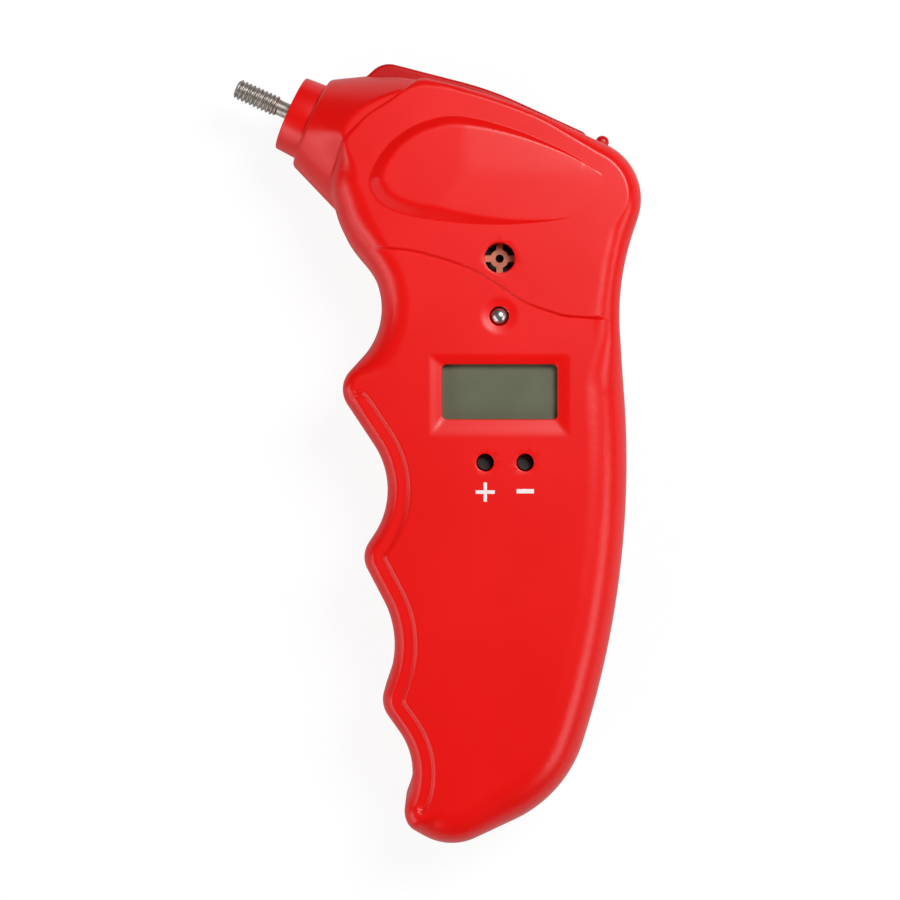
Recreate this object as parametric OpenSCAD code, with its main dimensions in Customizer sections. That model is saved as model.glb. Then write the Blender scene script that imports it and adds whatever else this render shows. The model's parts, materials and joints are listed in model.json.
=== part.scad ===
// Digital tire tread depth gauge with a pistol grip. The case lies on its flat back, display up,
// and the sprung probe points out of the nose. +X is the back of the grip, +Y the top of the gauge.

/* [Case] */
// Depth of the front shell, from the parting plane to the grip face
front_depth = 12; // [11.5:0.25:14]
// Depth of the rear shell, from the flat back to the parting plane
rear_depth = 12; // [12:0.25:14]
// Rounding of the back's edge
back_round = 3; // [1.5:0.1:3]
// Thickness of the shells' faces
wall = 2.2; // [1.8:0.1:2.6]
// Height of the head panel over the grip face
head_raise = 0.5; // [0.3:0.1:1]
// Height of the oval thumb pad at its front end
pad_raise = 1.2; // [0.6:0.1:2]
// Width of the stepped band along the finger grooves
terrace_w = 3.6; // [2.6:0.1:5]
// Drop of the stepped band below the grip face
terrace_drop = 0.6; // [0.3:0.1:1]

/* [Nose] */
// Slope of the probe axis against the X axis
probe_angle = 24.5; // [20:0.5:28]
// Radius of the nose behind its front chamfer
nose_r = 8.7; // [8.6:0.1:9.5]
// Radius that the nose gains per millimetre
nose_slope = 0.42; // [0.35:0.01:0.46]
// Chamfer on the front of the nose
nose_chamfer = 0.7; // [0.3:0.1:1]
// Length of the collar in front of the nose
collar_out = 4.3; // [3:0.1:6]
// Diameter of the collar at its measuring face
collar_front_d = 13.7; // [12:0.1:14]
// Diameter of the collar in the nose
collar_d = 14.4; // [13.8:0.1:14.8]
// Depth of the plain seat of the collar in the nose
collar_seat = 2.6; // [2.2:0.1:2.8]
// Diameter of the collar's locking flange
flange_d = 16; // [15.4:0.1:16.4]
// Thickness of the locking flange
flange_t = 1.8; // [1.4:0.1:1.8]

/* [Probe] */
// Outer diameter of the thread on the probe's tip
thread_d = 3.5; // [3:0.1:4]
// Pitch of the thread
thread_pitch = 0.794; // [0.5:0.001:1]
// Length of the thread
thread_length = 8.4; // [6:0.1:9]
// Diameter of the probe's shaft
probe_d = 2.8; // [2:0.1:2.9]
// Reach of the probe in front of the collar
probe_reach = 10.85; // [10.5:0.05:14]
// Travel of the probe into the nose
probe_travel = 10; // [5:0.5:10]
// Outer diameter of the guide bush
bush_d = 6; // [5:0.1:7]
// Length of the return spring at rest
spring_length = 19.4; // [19:0.1:20]
// Mean diameter of the return spring
spring_d = 5; // [4.6:0.1:5.6]
// Wire of the return spring
spring_wire = 0.6; // [0.4:0.05:0.7]
// Number of coils of the return spring
spring_coils = 12; // [8:1:13]
// Thickness of the rear guide
guide_t = 2.5; // [2:0.1:3]
// Length of the wiper carrier
carrier_length = 6; // [5:0.5:7]
// Drop from the probe axis to the sensor board
sensor_drop = 4.2; // [4:0.1:5]

/* [Lever] */
// Thickness of the press lever
lever_w = 7.4; // [6:0.1:8]
// Diameter of the lever's pivot pin
lever_pin_d = 2; // [1.5:0.1:2.5]
// Mean diameter of the lever's spring
lever_spring_d = 3.2; // [2.8:0.1:3.8]
// Wire of the lever's spring
lever_spring_wire = 0.44; // [0.3:0.02:0.5]

/* [Power button] */
// Width of the button along the top edge
button_w = 2.4; // [2:0.1:2.6]
// Length of the button across the case
button_length = 7; // [6:0.5:8]
// Height of the button over the top edge
button_proud = 1.1; // [0.8:0.1:1.6]

/* [Display] */
// Width of the display window
window_w = 20.5; // [18:0.5:21]
// Height of the display window
window_h = 9.8; // [8:0.1:11]
// Width of the display glass
lcd_w = 24; // [23:0.5:24]
// Height of the display glass
lcd_h = 14; // [13:0.5:14.5]
// Thickness of the display glass
lcd_t = 2.8; // [2:0.1:3]
// Height of the contact strips under the glass
strip_h = 2.3; // [2:0.1:2.6]
// Wall of the display holder
holder_wall = 0.9; // [0.7:0.1:1]
// Width of the sloping bezel round the window
bezel_w = 2; // [1:0.1:2.2]
// Depth of the bezel
bezel_depth = 1; // [0.5:0.1:1.2]

/* [Sounder and lamp] */
// Diameter of the sound hole in the head
sound_hole_d = 5.4; // [4:0.1:7]
// Diameter of the sounder
sounder_d = 12; // [10:0.5:13]
// Thickness of the sounder's slotted plate
sound_plate_t = 0.5; // [0.4:0.1:0.8]
// Diameter of the indicator lamp
lamp_d = 3; // [2.5:0.1:3.4]
// Height of the lamp with its base rim
lamp_h = 5.3; // [5:0.1:5.6]
// Height of the lamp's dome over the grip face
lamp_proud = 0.2; // [0:0.1:0.6]

/* [Setting buttons] */
// Diameter of the holes over the two setting buttons
set_hole_d = 3.1; // [2.8:0.1:3.6]
// Distance between the two setting buttons
set_pitch = 7.1; // [6.6:0.1:8]
// Side of a setting switch
set_base_w = 6; // [5:0.1:6.2]
// Height of a setting switch
set_base_h = 3.5; // [3:0.1:3.8]
// Diameter of a setting plunger
set_plunger_d = 2.6; // [2:0.1:2.7]
// Depth of a plunger below the grip face
set_recess = 2.4; // [1.6:0.1:2.8]

/* [Batteries] */
// Diameter of a battery cell
cell_d = 10.4; // [10:0.1:10.6]
// Length of a cell's body
cell_length = 43.5; // [42:0.5:44]
// Length of a battery spring
cell_spring_length = 3.5; // [3:0.1:4]
// Thickness of the battery door
door_t = 1.5; // [1.2:0.1:1.8]
// Width of the ledge under the door's rim
door_ledge = 1.2; // [1:0.1:1.4]

/* [Fasteners] */
// Diameter of a case screw
case_screw_d = 2.5; // [2:0.1:2.8]
// Diameter of a case screw's head
case_head_d = 4.6; // [4:0.1:4.8]
// Diameter of a board screw
board_screw_d = 1.8; // [1.6:0.1:2]
// Diameter of a board screw's head
board_head_d = 3.4; // [3:0.1:3.5]
// Thickness of the circuit boards
board_t = 1.6; // [1:0.1:1.7]

/* [Fits] */
// Radial clearance of a running fit
running_fit = 0.05; // [0.02:0.01:0.08]
// Clearance of a piece that drops into its seat
seat_gap = 0.1; // [0.05:0.01:0.15]
// Clearance beside the lever and the power button
slide_gap = 0.3; // [0.2:0.05:0.4]
// Clearance round the battery door and the cells
cover_gap = 0.2; // [0.1:0.05:0.3]

/* [Hidden] */
$fn = 40;
sliver = 0.01;
// How far a cut passes the face that it opens
over = 1;

case_red = [0.88, 0.08, 0.09];
lever_red = [0.7, 0.04, 0.06];
steel = [0.7, 0.7, 0.72];
brass = [0.78, 0.62, 0.3];
board_green = [0.1, 0.36, 0.2];
switch_black = [0.1, 0.1, 0.11];
copper = [0.72, 0.4, 0.27];

// Levels of the case, from its flat back
split_z = rear_depth;
face_z = rear_depth + front_depth;
head_z = face_z + head_raise;
ceiling_z = face_z - wall;
floor_z = wall;

// The battery bay opens at the back of the grip
cell_x = 10.2;
bay_y1 = -3.6;
plate_t = 0.4;
nub_h = 1;
nub_d = 5.4;
cell_pitch = cell_d + 2 * cover_gap;
bay_w = cell_pitch + cell_d + 2 * cover_gap;
bay_length = cell_length + nub_h + cell_spring_length + 2 * plate_t;
bay_y0 = bay_y1 - bay_length;
bay_wall = 1;
door_top = door_t;
cell_z = door_top + cover_gap + cell_d / 2;
bay_top = cell_z + cell_d / 2 + cover_gap;
terminal_w = 7;
terminal_h = 7.2;
tab_w = 2;
tab_h = 1.5;
tab_out = 1;
door_tab_w = 9;
door_tab_length = 6.4;
door_screw_out = 4.1;
door_screw_at = [cell_x, bay_y0 - door_screw_out];
door_screw_length = 6;
door_boss_r = 2.6;
door_head_t = 0.9;
tongue_w = 5;
tongue_out = 1.2;
lead_r = 0.6;

// Corners of the case outline, clockwise: x, y, corner radius, rounding of the face's edge.
// The toe of the grip lies below the battery bay
chord_error = 0.08;
case_corners = [
    [3.4, 68.4, 72, 3.5], [39.5, 52.5, 10.7, 4.5], [32.1, 30.1, 46, 7], [36.6, -19.1, 165, 7.5],
    [23.6, bay_y0 - 9.9, 23, 7.5], [1.3, bay_y0 - 19.8, 10, 6], [-6.8, bay_y0 - 13.1, 4.5, 2.6],
    [-2.6, -55.7, 12.5, 2.2],
    [-10.2, -45, 4.9, 2.2], [-6, -32.6, 17, 2.2], [-13.8, -18.3, 4.6, 2.2], [-5.8, -6.4, 14.5, 2.2],
    [-18.1, 12, 4.9, 2.4], [-5.8, 26, 13, 5], [-17.2, 39.6, 18, 7], [-19.2, 52.5, 12, 7],
    [-16.6, 65.3, 6, 5], [-13.5, 68.4, 6, 4]
];
first_ridge = 12;
toe = 6;

// Corners of the thumb pad on the head, and the line where the head panel ends
pad_corners = [
    [-3.2, 62.6, 14], [22, 55.6, 30], [34.4, 46, 5], [22, 40.2, 30], [-2, 41.6, 22],
    [-14.4, 45.4, 4.5], [-12.6, 56, 10]
];
pad_side = 1.6;
pad_fade = 4;
panel_line = [
    [-20, 36.6], [-7, 36.4], [-0.4, 35.1], [6.1, 32.9], [11.1, 30], [15.5, 27.1], [20.5, 25.2],
    [25, 24.3], [40, 23.7]
];
panel_top = 80;

// Where the probe axis leaves the nose, and the stations along it
nose_x = -22.55;
nose_y = 60.2;
nose_length = 14;
flange_start = collar_seat;
flange_end = flange_start + flange_t;
spigot_wall = 2;
spigot_length = 1.4;
spigot_r = bush_d / 2 + spigot_wall;
spigot_end = flange_end + spigot_length;
bush_flange_t = 0.8;
bush_end = spigot_end + bush_flange_t;
stop_t = 0.8;
stop_start = bush_end + seat_gap;
stop_end = stop_start + stop_t;
guide_start = stop_end + spring_length;
guide_end = guide_start + guide_t;
carrier_gap = 2.5;
carrier_start = guide_end + carrier_gap;
carrier_end = carrier_start + carrier_length;
probe_tip = -collar_out - probe_reach;
thread_end = probe_tip + thread_length;
thread_room = thread_end + probe_travel + 2 * seat_gap;

// The sensor board lies beside the probe axis: along it, and across it towards the top edge
sensor_gap = 1;
sensor_margin = 3.5;
sensor_start = guide_end + sensor_gap;
sensor_end = carrier_end + probe_travel + sensor_margin;
sensor_low = -8.2;
sensor_high = 11;
sensor_t = 1.2;
sensor_screws = [[41, 7.6], [41, -6.1]];
track_offset = 2;
track_t = 0.04;

// The lever's outline beside the probe axis, and its pivot
lever_corners = [
    [5.1, 10, 0.5], [7.5, 15.9, 4.2], [27, 18.8, 60], [46.8, 18.5, 1.6], [46.8, 12.6, 1.5],
    [20, 12.4, 10], [9, 10.6, 6]
];
lever_pivot = [44.3, 15.2];
lever_sink = 2.5;
lever_boss_r = 2.3;
lever_spring_at = 14;
lever_foot_at = 33.8;
lever_foot_low = 11.4;
shelf_high = 6.6;
shelf_t = 1.6;
switch_w = 5;
switch_h = 2.5;
switch_depth = 3.6;
plunger_r = 0.9;

// The power button beside the probe axis
button_at = 49.4;
button_edge = 18.7;
button_low = 13.6;
button_flange = 1;
slot_height = 10;

// Levels of the display and the main board
lcd_top = ceiling_z - seat_gap;
lcd_low = lcd_top - lcd_t;
board_top = lcd_low - strip_h;
board_low = board_top - board_t;
display_x = 11.3;
display_y = 11.05;
board_w = lcd_w + 2 * (seat_gap + holder_wall);
board_y0 = -6;
board_y1 = 39.5;
board_screw_at = [[1.5, -1], [21.1, -1], [1.5, 37], [21.1, 30]];
board_head_t = 1.4;
board_boss_r = 2.2;
sounder_at = [11.3, 34.8];
lamp_at = [11.2, 24.5];
set_at = [12.25, -1.5];
sound_plate_low = ceiling_z - seat_gap - sound_plate_t;
lamp_low = face_z + lamp_proud - lamp_h;
lamp_rim_t = 1;
lamp_dish_r = 3.2;
lamp_dish_depth = 0.6;
set_plunger_top = face_z - set_recess;
set_plunger_h = 1.9;
mark_at = -6.7;
mark_length = 3.3;
mark_w = 0.7;
mark_depth = 0.3;

// Case screws: bosses in both shells
case_boss_r = 3;
case_boss_gap = 0.5;
toe_screw_out = 11.2;
case_screw_at = [
    [-10, 44.5], [31.3, 44.6], [-9, 12.5],
    [display_x + board_w / 2 + case_boss_r + case_boss_gap, 12], [8, bay_y0 - toe_screw_out]
];
case_head_t = 1.8;
case_head_low = 3;
case_screw_length = 12;
case_pilot_top = case_head_low + case_head_t + case_screw_length + over;
pilot_gap = 0.05;

function unit(v) = v / norm(v);
function wrap(list, i) = list[(i + len(list)) % len(list)];
function flat(v) = [v[0], v[1]];
function turned(v, a) = [v[0] * cos(a) - v[1] * sin(a), v[0] * sin(a) + v[1] * cos(a)];

// Points of a clockwise outline with rounded corners: [point, inward normal, edge rounding, corner]
function rounded(corners, error) = [
    for (i = [0:len(corners) - 1])
        let (
            here = flat(corners[i]),
            d1 = unit(here - flat(wrap(corners, i - 1))),
            d2 = unit(flat(wrap(corners, i + 1)) - here),
            bend = atan2(d1[0] * d2[1] - d1[1] * d2[0], d1 * d2),
            r = corners[i][2],
            start = here - d1 * r * tan(abs(bend) / 2),
            out = sign(bend) * [-d1[1], d1[0]],
            centre = start + r * out,
            n = ceil(abs(bend) / (2 * acos(1 - error / max(r, 1))))
        )
            for (k = [0:n])
                let (a = bend * k / n, d = turned(d1, a))
                    [centre - r * turned(out, a), [d[1], -d[0]], corners[i][3], i]
];

case_points = rounded(case_corners, chord_error);
function inset(points, by) = [for (p = points) p[0] + by * p[1]];

// Solid between rings of equally many points, lowest ring first, each clockwise from above
module ring_stack(rings) {
    n = len(rings[0]);
    last = len(rings) - 1;
    polyhedron(
        points = [for (ring = rings) each ring],
        faces = [
            [for (i = [n - 1:-1:0]) i],
            [for (i = [0:n - 1]) last * n + i],
            for (j = [0:last - 1], i = [0:n - 1])
                let (a = j * n + i, b = j * n + (i + 1) % n)
                    each [[a, b, b + n], [a, b + n, a + n]]
        ]
    );
}

// Half of the case as a full solid, standing on the parting plane, its edge rounded up to a radius
module half_body(depth, most) {
    rounding_steps = 3;
    ring_stack([
        [for (p = case_points) [p[0][0], p[0][1], 0]],
        for (k = [0:rounding_steps])
            let (a = 90 * k / rounding_steps)
                [for (p = case_points)
                    let (r = min(p[2], most), q = p[0] + r * (1 - cos(a)) * p[1])
                        [q[0], q[1], depth - r * (1 - sin(a))]]
    ]);
}

// Hollow of half of the case, standing on the parting plane
module half_hollow(depth) {
    edge_share = 0.25;
    translate([0, 0, -sliver])
        linear_extrude(depth - wall + sliver)
            polygon([for (p = case_points) p[0] + (wall + edge_share * p[2]) * p[1]]);
}

// Places children in the probe's own frame: X into the nose, Y towards the top edge
module at_nose() {
    translate([nose_x, nose_y, split_z])
        rotate([0, 0, -probe_angle])
            children();
}

// Round bar along the probe axis
module bar(from, to, r1, r2) {
    translate([from, 0, 0])
        rotate([0, 90, 0])
            cylinder(h = to - from, r1 = r1, r2 = r2);
}

module round_bar(from, to, r) {
    bar(from, to, r, r);
}

// Round bar across the probe axis, towards the top edge
module cross_bar(at, low, high, r) {
    translate([at, high, 0])
        rotate([90, 0, 0])
            cylinder(h = high - low, r = r);
}

module block(x0, x1, y0, y1, z0, z1) {
    translate([x0, y0, z0])
        cube([x1 - x0, y1 - y0, z1 - z0]);
}

module post(at, low, high, r) {
    translate([at[0], at[1], low])
        cylinder(h = high - low, r = r);
}

// Screw boss with drafted sides, wide at its root in the shell
module boss(at, root, tip, r) {
    draft = 0.02 * abs(tip - root);
    skin = 0.1 * sign(tip - root);
    hull() {
        post(at, min(root, root + skin), max(root, root + skin), r + draft);
        post(at, min(tip, tip - skin), max(tip, tip - skin), r);
    }
}

// Half of the nose, standing on the parting plane of the case and cut off at a depth
module half_nose(depth) {
    reach = nose_r + nose_slope * nose_length;
    intersection() {
        translate([nose_x, nose_y, 0])
            rotate([0, 0, -probe_angle]) {
                bar(0, nose_chamfer, nose_r - nose_chamfer, nose_r);
                bar(nose_chamfer, nose_length, nose_r, reach);
            }
        translate([nose_x - 2 * reach, nose_y - 2 * reach, 0])
            cube([4 * reach, 4 * reach, depth]);
    }
}

// What both shells leave free for the collar, the bush, the lever and the power button
module nose_room() {
    at_nose() {
        round_bar(-over, flange_start, collar_d / 2 + running_fit);
        round_bar(flange_start - seat_gap, flange_end + seat_gap, flange_d / 2 + seat_gap);
        round_bar(flange_end, nose_length, spigot_r + seat_gap);
        block(
            lever_corners[0][0] - slide_gap, lever_corners[3][0] + slide_gap,
            lever_corners[0][1] - lever_sink, button_edge + slot_height,
            -lever_w / 2 - slide_gap, lever_w / 2 + slide_gap
        );
        block(
            button_at - button_w / 2 - slide_gap / 2, button_at + button_w / 2 + slide_gap / 2,
            button_low, button_edge + slot_height,
            -button_length / 2 - slide_gap, button_length / 2 + slide_gap
        );
    }
}

// Band along the finger grooves, from outside the case to its inner edge
module terrace_cut() {
    band = [for (p = case_points) if (p[3] >= toe && p[3] <= first_ridge) p];
    edge = inset(band, terrace_w);
    translate([0, 0, face_z - terrace_drop])
        linear_extrude(head_raise + terrace_drop + over)
            polygon(concat(inset(band, -over), [for (i = [len(edge) - 1:-1:0]) edge[i]]));
}

// Raised panel of the head, ending in a double bend over the display
module head_panel() {
    edge_gap = 0.3;
    intersection() {
        translate([0, 0, face_z - wall / 2])
            linear_extrude(head_raise + wall / 2)
                polygon([for (p = case_points) p[0] + (p[2] + edge_gap) * p[1]]);
        translate([0, 0, face_z - wall])
            linear_extrude(2 * wall)
                polygon(concat(panel_line, [[panel_line[8][0], panel_top], [panel_line[0][0], panel_top]]));
    }
}

// Oval pad on the head, highest at the front and level with the panel at the back
module thumb_pad() {
    points = rounded(pad_corners, chord_error);
    front = pad_corners[5][0];
    back = pad_corners[2][0] - pad_fade;
    lap = 0.1;
    top = [
        for (p = points)
            let (q = p[0] + pad_side * p[1])
                [q[0], q[1], head_z + pad_raise * (back - q[0]) / (back - front)]
    ];
    ring_stack([
        [for (p = points) [p[0][0], p[0][1], face_z - wall / 2]],
        [for (i = [0:len(points) - 1]) [points[i][0][0], points[i][0][1], min(head_z, top[i][2] - lap)]],
        top
    ]);
}

// Sloping frame round the display window
module bezel_cut() {
    w = window_w / 2;
    h = window_h / 2;
    shape = [[-1, 1], [1, 1], [1, -1], [-1, -1]];
    translate([display_x, display_y, 0])
        ring_stack([
            [for (s = shape) [s[0] * w, s[1] * h, face_z - bezel_depth]],
            [for (s = shape) [s[0] * (w + bezel_w), s[1] * (h + bezel_w), face_z + sliver]]
        ]);
}

module front_shell() {
    color(case_red)
        difference() {
            union() {
                difference() {
                    union() {
                        translate([0, 0, split_z]) {
                            half_body(front_depth, front_depth);
                            half_nose(front_depth);
                        }
                        head_panel();
                        thumb_pad();
                    }
                    translate([0, 0, split_z])
                        half_hollow(front_depth);
                    terrace_cut();
                }
                for (at = case_screw_at)
                    boss(at, ceiling_z + wall / 2, split_z, case_boss_r);
                for (at = board_screw_at)
                    boss(at, ceiling_z + wall / 2, board_top, board_boss_r);
                at_nose()
                    boss(lever_pivot, front_depth - wall / 2, lever_w / 2 + slide_gap, lever_boss_r);
            }
            nose_room();
            for (at = case_screw_at)
                post(at, split_z - over, case_pilot_top, case_screw_d / 2 + pilot_gap);
            for (at = board_screw_at)
                post(at, board_top - over, ceiling_z, board_screw_d / 2 + pilot_gap);
            at_nose()
                post(lever_pivot, 0, front_depth - wall, lever_pin_d / 2 + running_fit);
            bezel_cut();
            block(
                display_x - window_w / 2, display_x + window_w / 2,
                display_y - window_h / 2, display_y + window_h / 2, ceiling_z - over, face_z
            );
            post(sounder_at, ceiling_z - over, head_z + over, sound_hole_d / 2);
            post(lamp_at, ceiling_z - over, head_z + over, lamp_d / 2 + cover_gap);
            translate([lamp_at[0], lamp_at[1], face_z - lamp_dish_depth])
                cylinder(h = lamp_dish_depth + head_raise, r1 = lamp_d / 2 + cover_gap, r2 = lamp_dish_r);
            for (side = [-1, 1])
                post(set_at + [side * set_pitch / 2, 0], ceiling_z - over, face_z + over, set_hole_d / 2);
            set_marks_cut();
        }
}

// Plus and minus signs sunk into the grip face
module set_marks_cut() {
    for (side = [-1, 1])
        translate([set_at[0] + side * set_pitch / 2, mark_at, face_z]) {
            cube([mark_length, mark_w, 2 * mark_depth], center = true);
            if (side < 0)
                cube([mark_w, mark_length, 2 * mark_depth], center = true);
        }
}

// Outline of the battery door, grown by a gap
module door_plan(gap) {
    half_w = bay_w / 2 + door_ledge - cover_gap + gap;
    y1 = bay_y1 + door_ledge - cover_gap + gap;
    y0 = bay_y0 - door_ledge + cover_gap - gap;
    tab_y = bay_y0 - door_tab_length - gap;
    tab = door_tab_w / 2 + gap;
    polygon([
        [cell_x - half_w, y1], [cell_x + half_w, y1], [cell_x + half_w, y0], [cell_x + tab, y0],
        [cell_x + tab, tab_y], [cell_x - tab, tab_y], [cell_x - tab, y0], [cell_x - half_w, y0]
    ]);
}

module rear_shell() {
    color(case_red)
        difference() {
            union() {
                difference() {
                    translate([0, 0, split_z])
                        mirror([0, 0, 1]) {
                            half_body(rear_depth, back_round);
                            half_nose(rear_depth);
                        }
                    translate([0, 0, split_z])
                        mirror([0, 0, 1])
                            half_hollow(rear_depth);
                }
                block(
                    cell_x - bay_w / 2 - bay_wall, cell_x + bay_w / 2 + bay_wall,
                    bay_y0 - bay_wall, bay_y1 + bay_wall, floor_z / 2, bay_top + bay_wall
                );
                for (at = case_screw_at)
                    boss(at, floor_z / 2, split_z, case_boss_r);
                boss(door_screw_at, floor_z / 2, door_top + door_screw_length + over, door_boss_r);
                at_nose() {
                    boss(lever_pivot, floor_z / 2 - split_z, -lever_w / 2 - slide_gap, lever_boss_r);
                    for (at = sensor_screws)
                        boss(at, floor_z / 2 - split_z, -sensor_drop - sensor_t, board_boss_r);
                    block(
                        lever_spring_at - lever_spring_d, lever_spring_at + lever_spring_d,
                        shelf_high - shelf_t, shelf_high, floor_z / 2 - split_z,
                        (lever_spring_d + lever_spring_wire) / 2
                    );
                }
            }
            nose_room();
            for (at = case_screw_at) {
                post(at, -over, split_z + over, case_screw_d / 2 + cover_gap);
                post(at, -over, case_head_low + case_head_t, case_head_d / 2 + cover_gap);
            }
            block(
                cell_x - bay_w / 2, cell_x + bay_w / 2, bay_y0, bay_y1, -over, bay_top
            );
            translate([0, 0, -over])
                linear_extrude(over + door_top)
                    door_plan(cover_gap);
            post(door_screw_at, 0, door_top + door_screw_length, board_screw_d / 2 + pilot_gap);
            for (side = [-1, 1]) {
                block(
                    cell_x + side * cell_pitch / 2 - tab_w / 2 - cover_gap,
                    cell_x + side * cell_pitch / 2 + tab_w / 2 + cover_gap,
                    bay_y1 - over, bay_y1 + bay_wall + over,
                    cell_z + tab_h - cover_gap, cell_z + 2 * tab_h + cover_gap
                );
                block(
                    cell_x + side * cell_pitch / 2 - tongue_w / 2 - cover_gap,
                    cell_x + side * cell_pitch / 2 + tongue_w / 2 + cover_gap,
                    bay_y1 - over, bay_y1 + door_ledge + tongue_out + cover_gap,
                    door_top - sliver, door_top + door_t
                );
            }
            at_nose() {
                post(lever_pivot, wall - split_z, 0, lever_pin_d / 2 + running_fit);
                for (at = sensor_screws)
                    post(at, floor_z - split_z, 0, board_screw_d / 2 + pilot_gap);
            }
        }
}

// Screw that points up, with a cross recess in its head
module screw(at, head_low, head_t, head_r, length, r) {
    slot_w = head_r / 3;
    slot_length = 1.7 * head_r / 2;
    translate([at[0], at[1], head_low])
        difference() {
            union() {
                cylinder(h = head_t, r = head_r);
                cylinder(h = head_t + length, r = r);
            }
            for (a = [0, 90])
                rotate([0, 0, a])
                    cube([slot_length, slot_w, head_t], center = true);
        }
}

module case_screws() {
    color(steel)
        for (at = case_screw_at)
            screw(at, case_head_low, case_head_t, case_head_d / 2, case_screw_length, case_screw_d / 2);
}

module nose_collar() {
    lip = 0.4;
    color(case_red)
        at_nose()
            difference() {
                union() {
                    bar(-collar_out, 0, collar_front_d / 2, collar_d / 2);
                    round_bar(0, flange_start, collar_d / 2);
                    round_bar(flange_start, flange_end, flange_d / 2);
                    round_bar(flange_end, spigot_end, spigot_r);
                }
                round_bar(-collar_out - over, spigot_end + over, bush_d / 2 + running_fit);
                bar(-collar_out - sliver, -collar_out + lip, bush_d / 2 + 2 * lip, bush_d / 2);
            }
}

module guide_bush() {
    recess = 0.4;
    rim = 1.2;
    color(brass)
        at_nose()
            difference() {
                union() {
                    round_bar(-collar_out + recess, spigot_end, bush_d / 2);
                    round_bar(spigot_end, bush_end, bush_d / 2 + rim);
                }
                round_bar(-collar_out - over, bush_end + over, probe_d / 2 + running_fit);
                round_bar(-collar_out - over, thread_room, thread_d / 2 + seat_gap);
            }
}

module probe_rod() {
    crest = 0.3;
    depth_share = 0.54;
    depth = depth_share * thread_pitch;
    r = thread_d / 2;
    turns = floor(thread_length / thread_pitch);
    profile = [
        [0, 0], [r - depth, 0],
        for (k = [0:turns - 1])
            each [
                [r - (k == 0 ? depth / 2 : 0), (k + 0.5 - crest / 2) * thread_pitch],
                [r - (k == 0 ? depth / 2 : 0), (k + 0.5 + crest / 2) * thread_pitch],
                [r - depth, (k + 1) * thread_pitch]
            ],
        [probe_d / 2, turns * thread_pitch + depth], [probe_d / 2, carrier_end - probe_tip],
        [0, carrier_end - probe_tip]
    ];
    color(steel)
        at_nose()
            translate([probe_tip, 0, 0])
                rotate([0, 90, 0])
                    rotate_extrude()
                        polygon(profile);
}

module probe_stop_ring() {
    rim = 1;
    color(steel)
        at_nose()
            difference() {
                round_bar(stop_start, stop_end, spring_d / 2 + rim);
                round_bar(stop_start - over, stop_end + over, probe_d / 2 + sliver);
            }
}

// Points of a coil along +Z
function coil(r, length, turns, rings) = [
    for (k = [0:turns * rings])
        [r * cos(360 * k / rings), r * sin(360 * k / rings), length * k / (turns * rings)]
];

// Round wire along a path, its section turned against a fixed direction
module wire(path, r, sides, fixed) {
    last = len(path) - 1;
    points = [
        for (i = [0:last])
            let (
                t = unit(path[min(i + 1, last)] - path[max(i - 1, 0)]),
                s = unit(cross(t, fixed)),
                u = cross(t, s)
            )
                for (k = [0:sides - 1])
                    path[i] + r * (cos(360 * k / sides) * s + sin(360 * k / sides) * u)
    ];
    polyhedron(
        points = points,
        faces = [
            [for (k = [0:sides - 1]) k],
            [for (k = [sides - 1:-1:0]) last * sides + k],
            for (i = [0:last - 1], k = [0:sides - 1])
                let (a = i * sides + k, b = i * sides + (k + 1) % sides)
                    each [[a, a + sides, b + sides], [a, b + sides, b]]
        ]
    );
}

// Helical spring standing on Z = 0, its end turns clear of its two seats
module spring(d, length, turns, wire_d) {
    rings = 8;
    sides = 6;
    end_gap = 0.05;
    translate([0, 0, wire_d / 2 + end_gap])
        wire(coil(d / 2, length - wire_d - 2 * end_gap, turns, rings), wire_d / 2, sides, [0, 0, 1]);
    echo("gap between coils", (length - wire_d - 2 * end_gap) / turns - wire_d);
}

module probe_spring() {
    color(steel)
        at_nose()
            translate([stop_end, 0, 0])
                rotate([0, 90, 0])
                    spring(spring_d, spring_length, spring_coils, spring_wire);
}

module rear_guide() {
    half_w = 5;
    height = 3.5;
    color(switch_black)
        at_nose()
            difference() {
                block(guide_start, guide_end, -half_w, half_w, floor_z - split_z, height);
                round_bar(guide_start - over, guide_end + over, probe_d / 2 + running_fit);
            }
}

carrier_low = -2.5;
module wiper_carrier() {
    half_w = 4;
    height = 2;
    color(switch_black)
        at_nose()
            difference() {
                block(carrier_start, carrier_end, -half_w, half_w, carrier_low, height);
                round_bar(carrier_start - over, carrier_end + over, probe_d / 2 + sliver);
            }
}

module wiper_contacts() {
    strip_w = 1.2;
    strip_t = 0.25;
    root = 0.5;
    bend = 1.6;
    toe_length = 1;
    tip = -sensor_drop + track_t + running_fit;
    color(brass)
        at_nose()
            for (side = [-1, 1])
                translate([carrier_start, side * track_offset + strip_w / 2, 0])
                    rotate([90, 0, 0])
                        linear_extrude(strip_w)
                            polygon([
                                [root, carrier_low], [bend, carrier_low],
                                [carrier_length - toe_length, tip + strip_t],
                                [carrier_length, tip + 2 * strip_t], [carrier_length - toe_length, tip],
                                [bend - strip_t, carrier_low - strip_t], [root, carrier_low - strip_t]
                            ]);
}

module sensor_board() {
    color(board_green)
        at_nose()
            difference() {
                block(
                    sensor_start, sensor_end, sensor_low, sensor_high,
                    -sensor_drop - sensor_t, -sensor_drop
                );
                for (at = sensor_screws)
                    post(at, -sensor_drop - sensor_t - over, 0, board_screw_d / 2 + seat_gap);
            }
}

module sensor_tracks() {
    track_w = 1.6;
    end_gap = 1;
    color(switch_black)
        at_nose()
            for (side = [-1, 1])
                block(
                    carrier_start + end_gap, sensor_end - end_gap,
                    side * track_offset - track_w / 2, side * track_offset + track_w / 2,
                    -sensor_drop, -sensor_drop + track_t
                );
}

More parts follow.
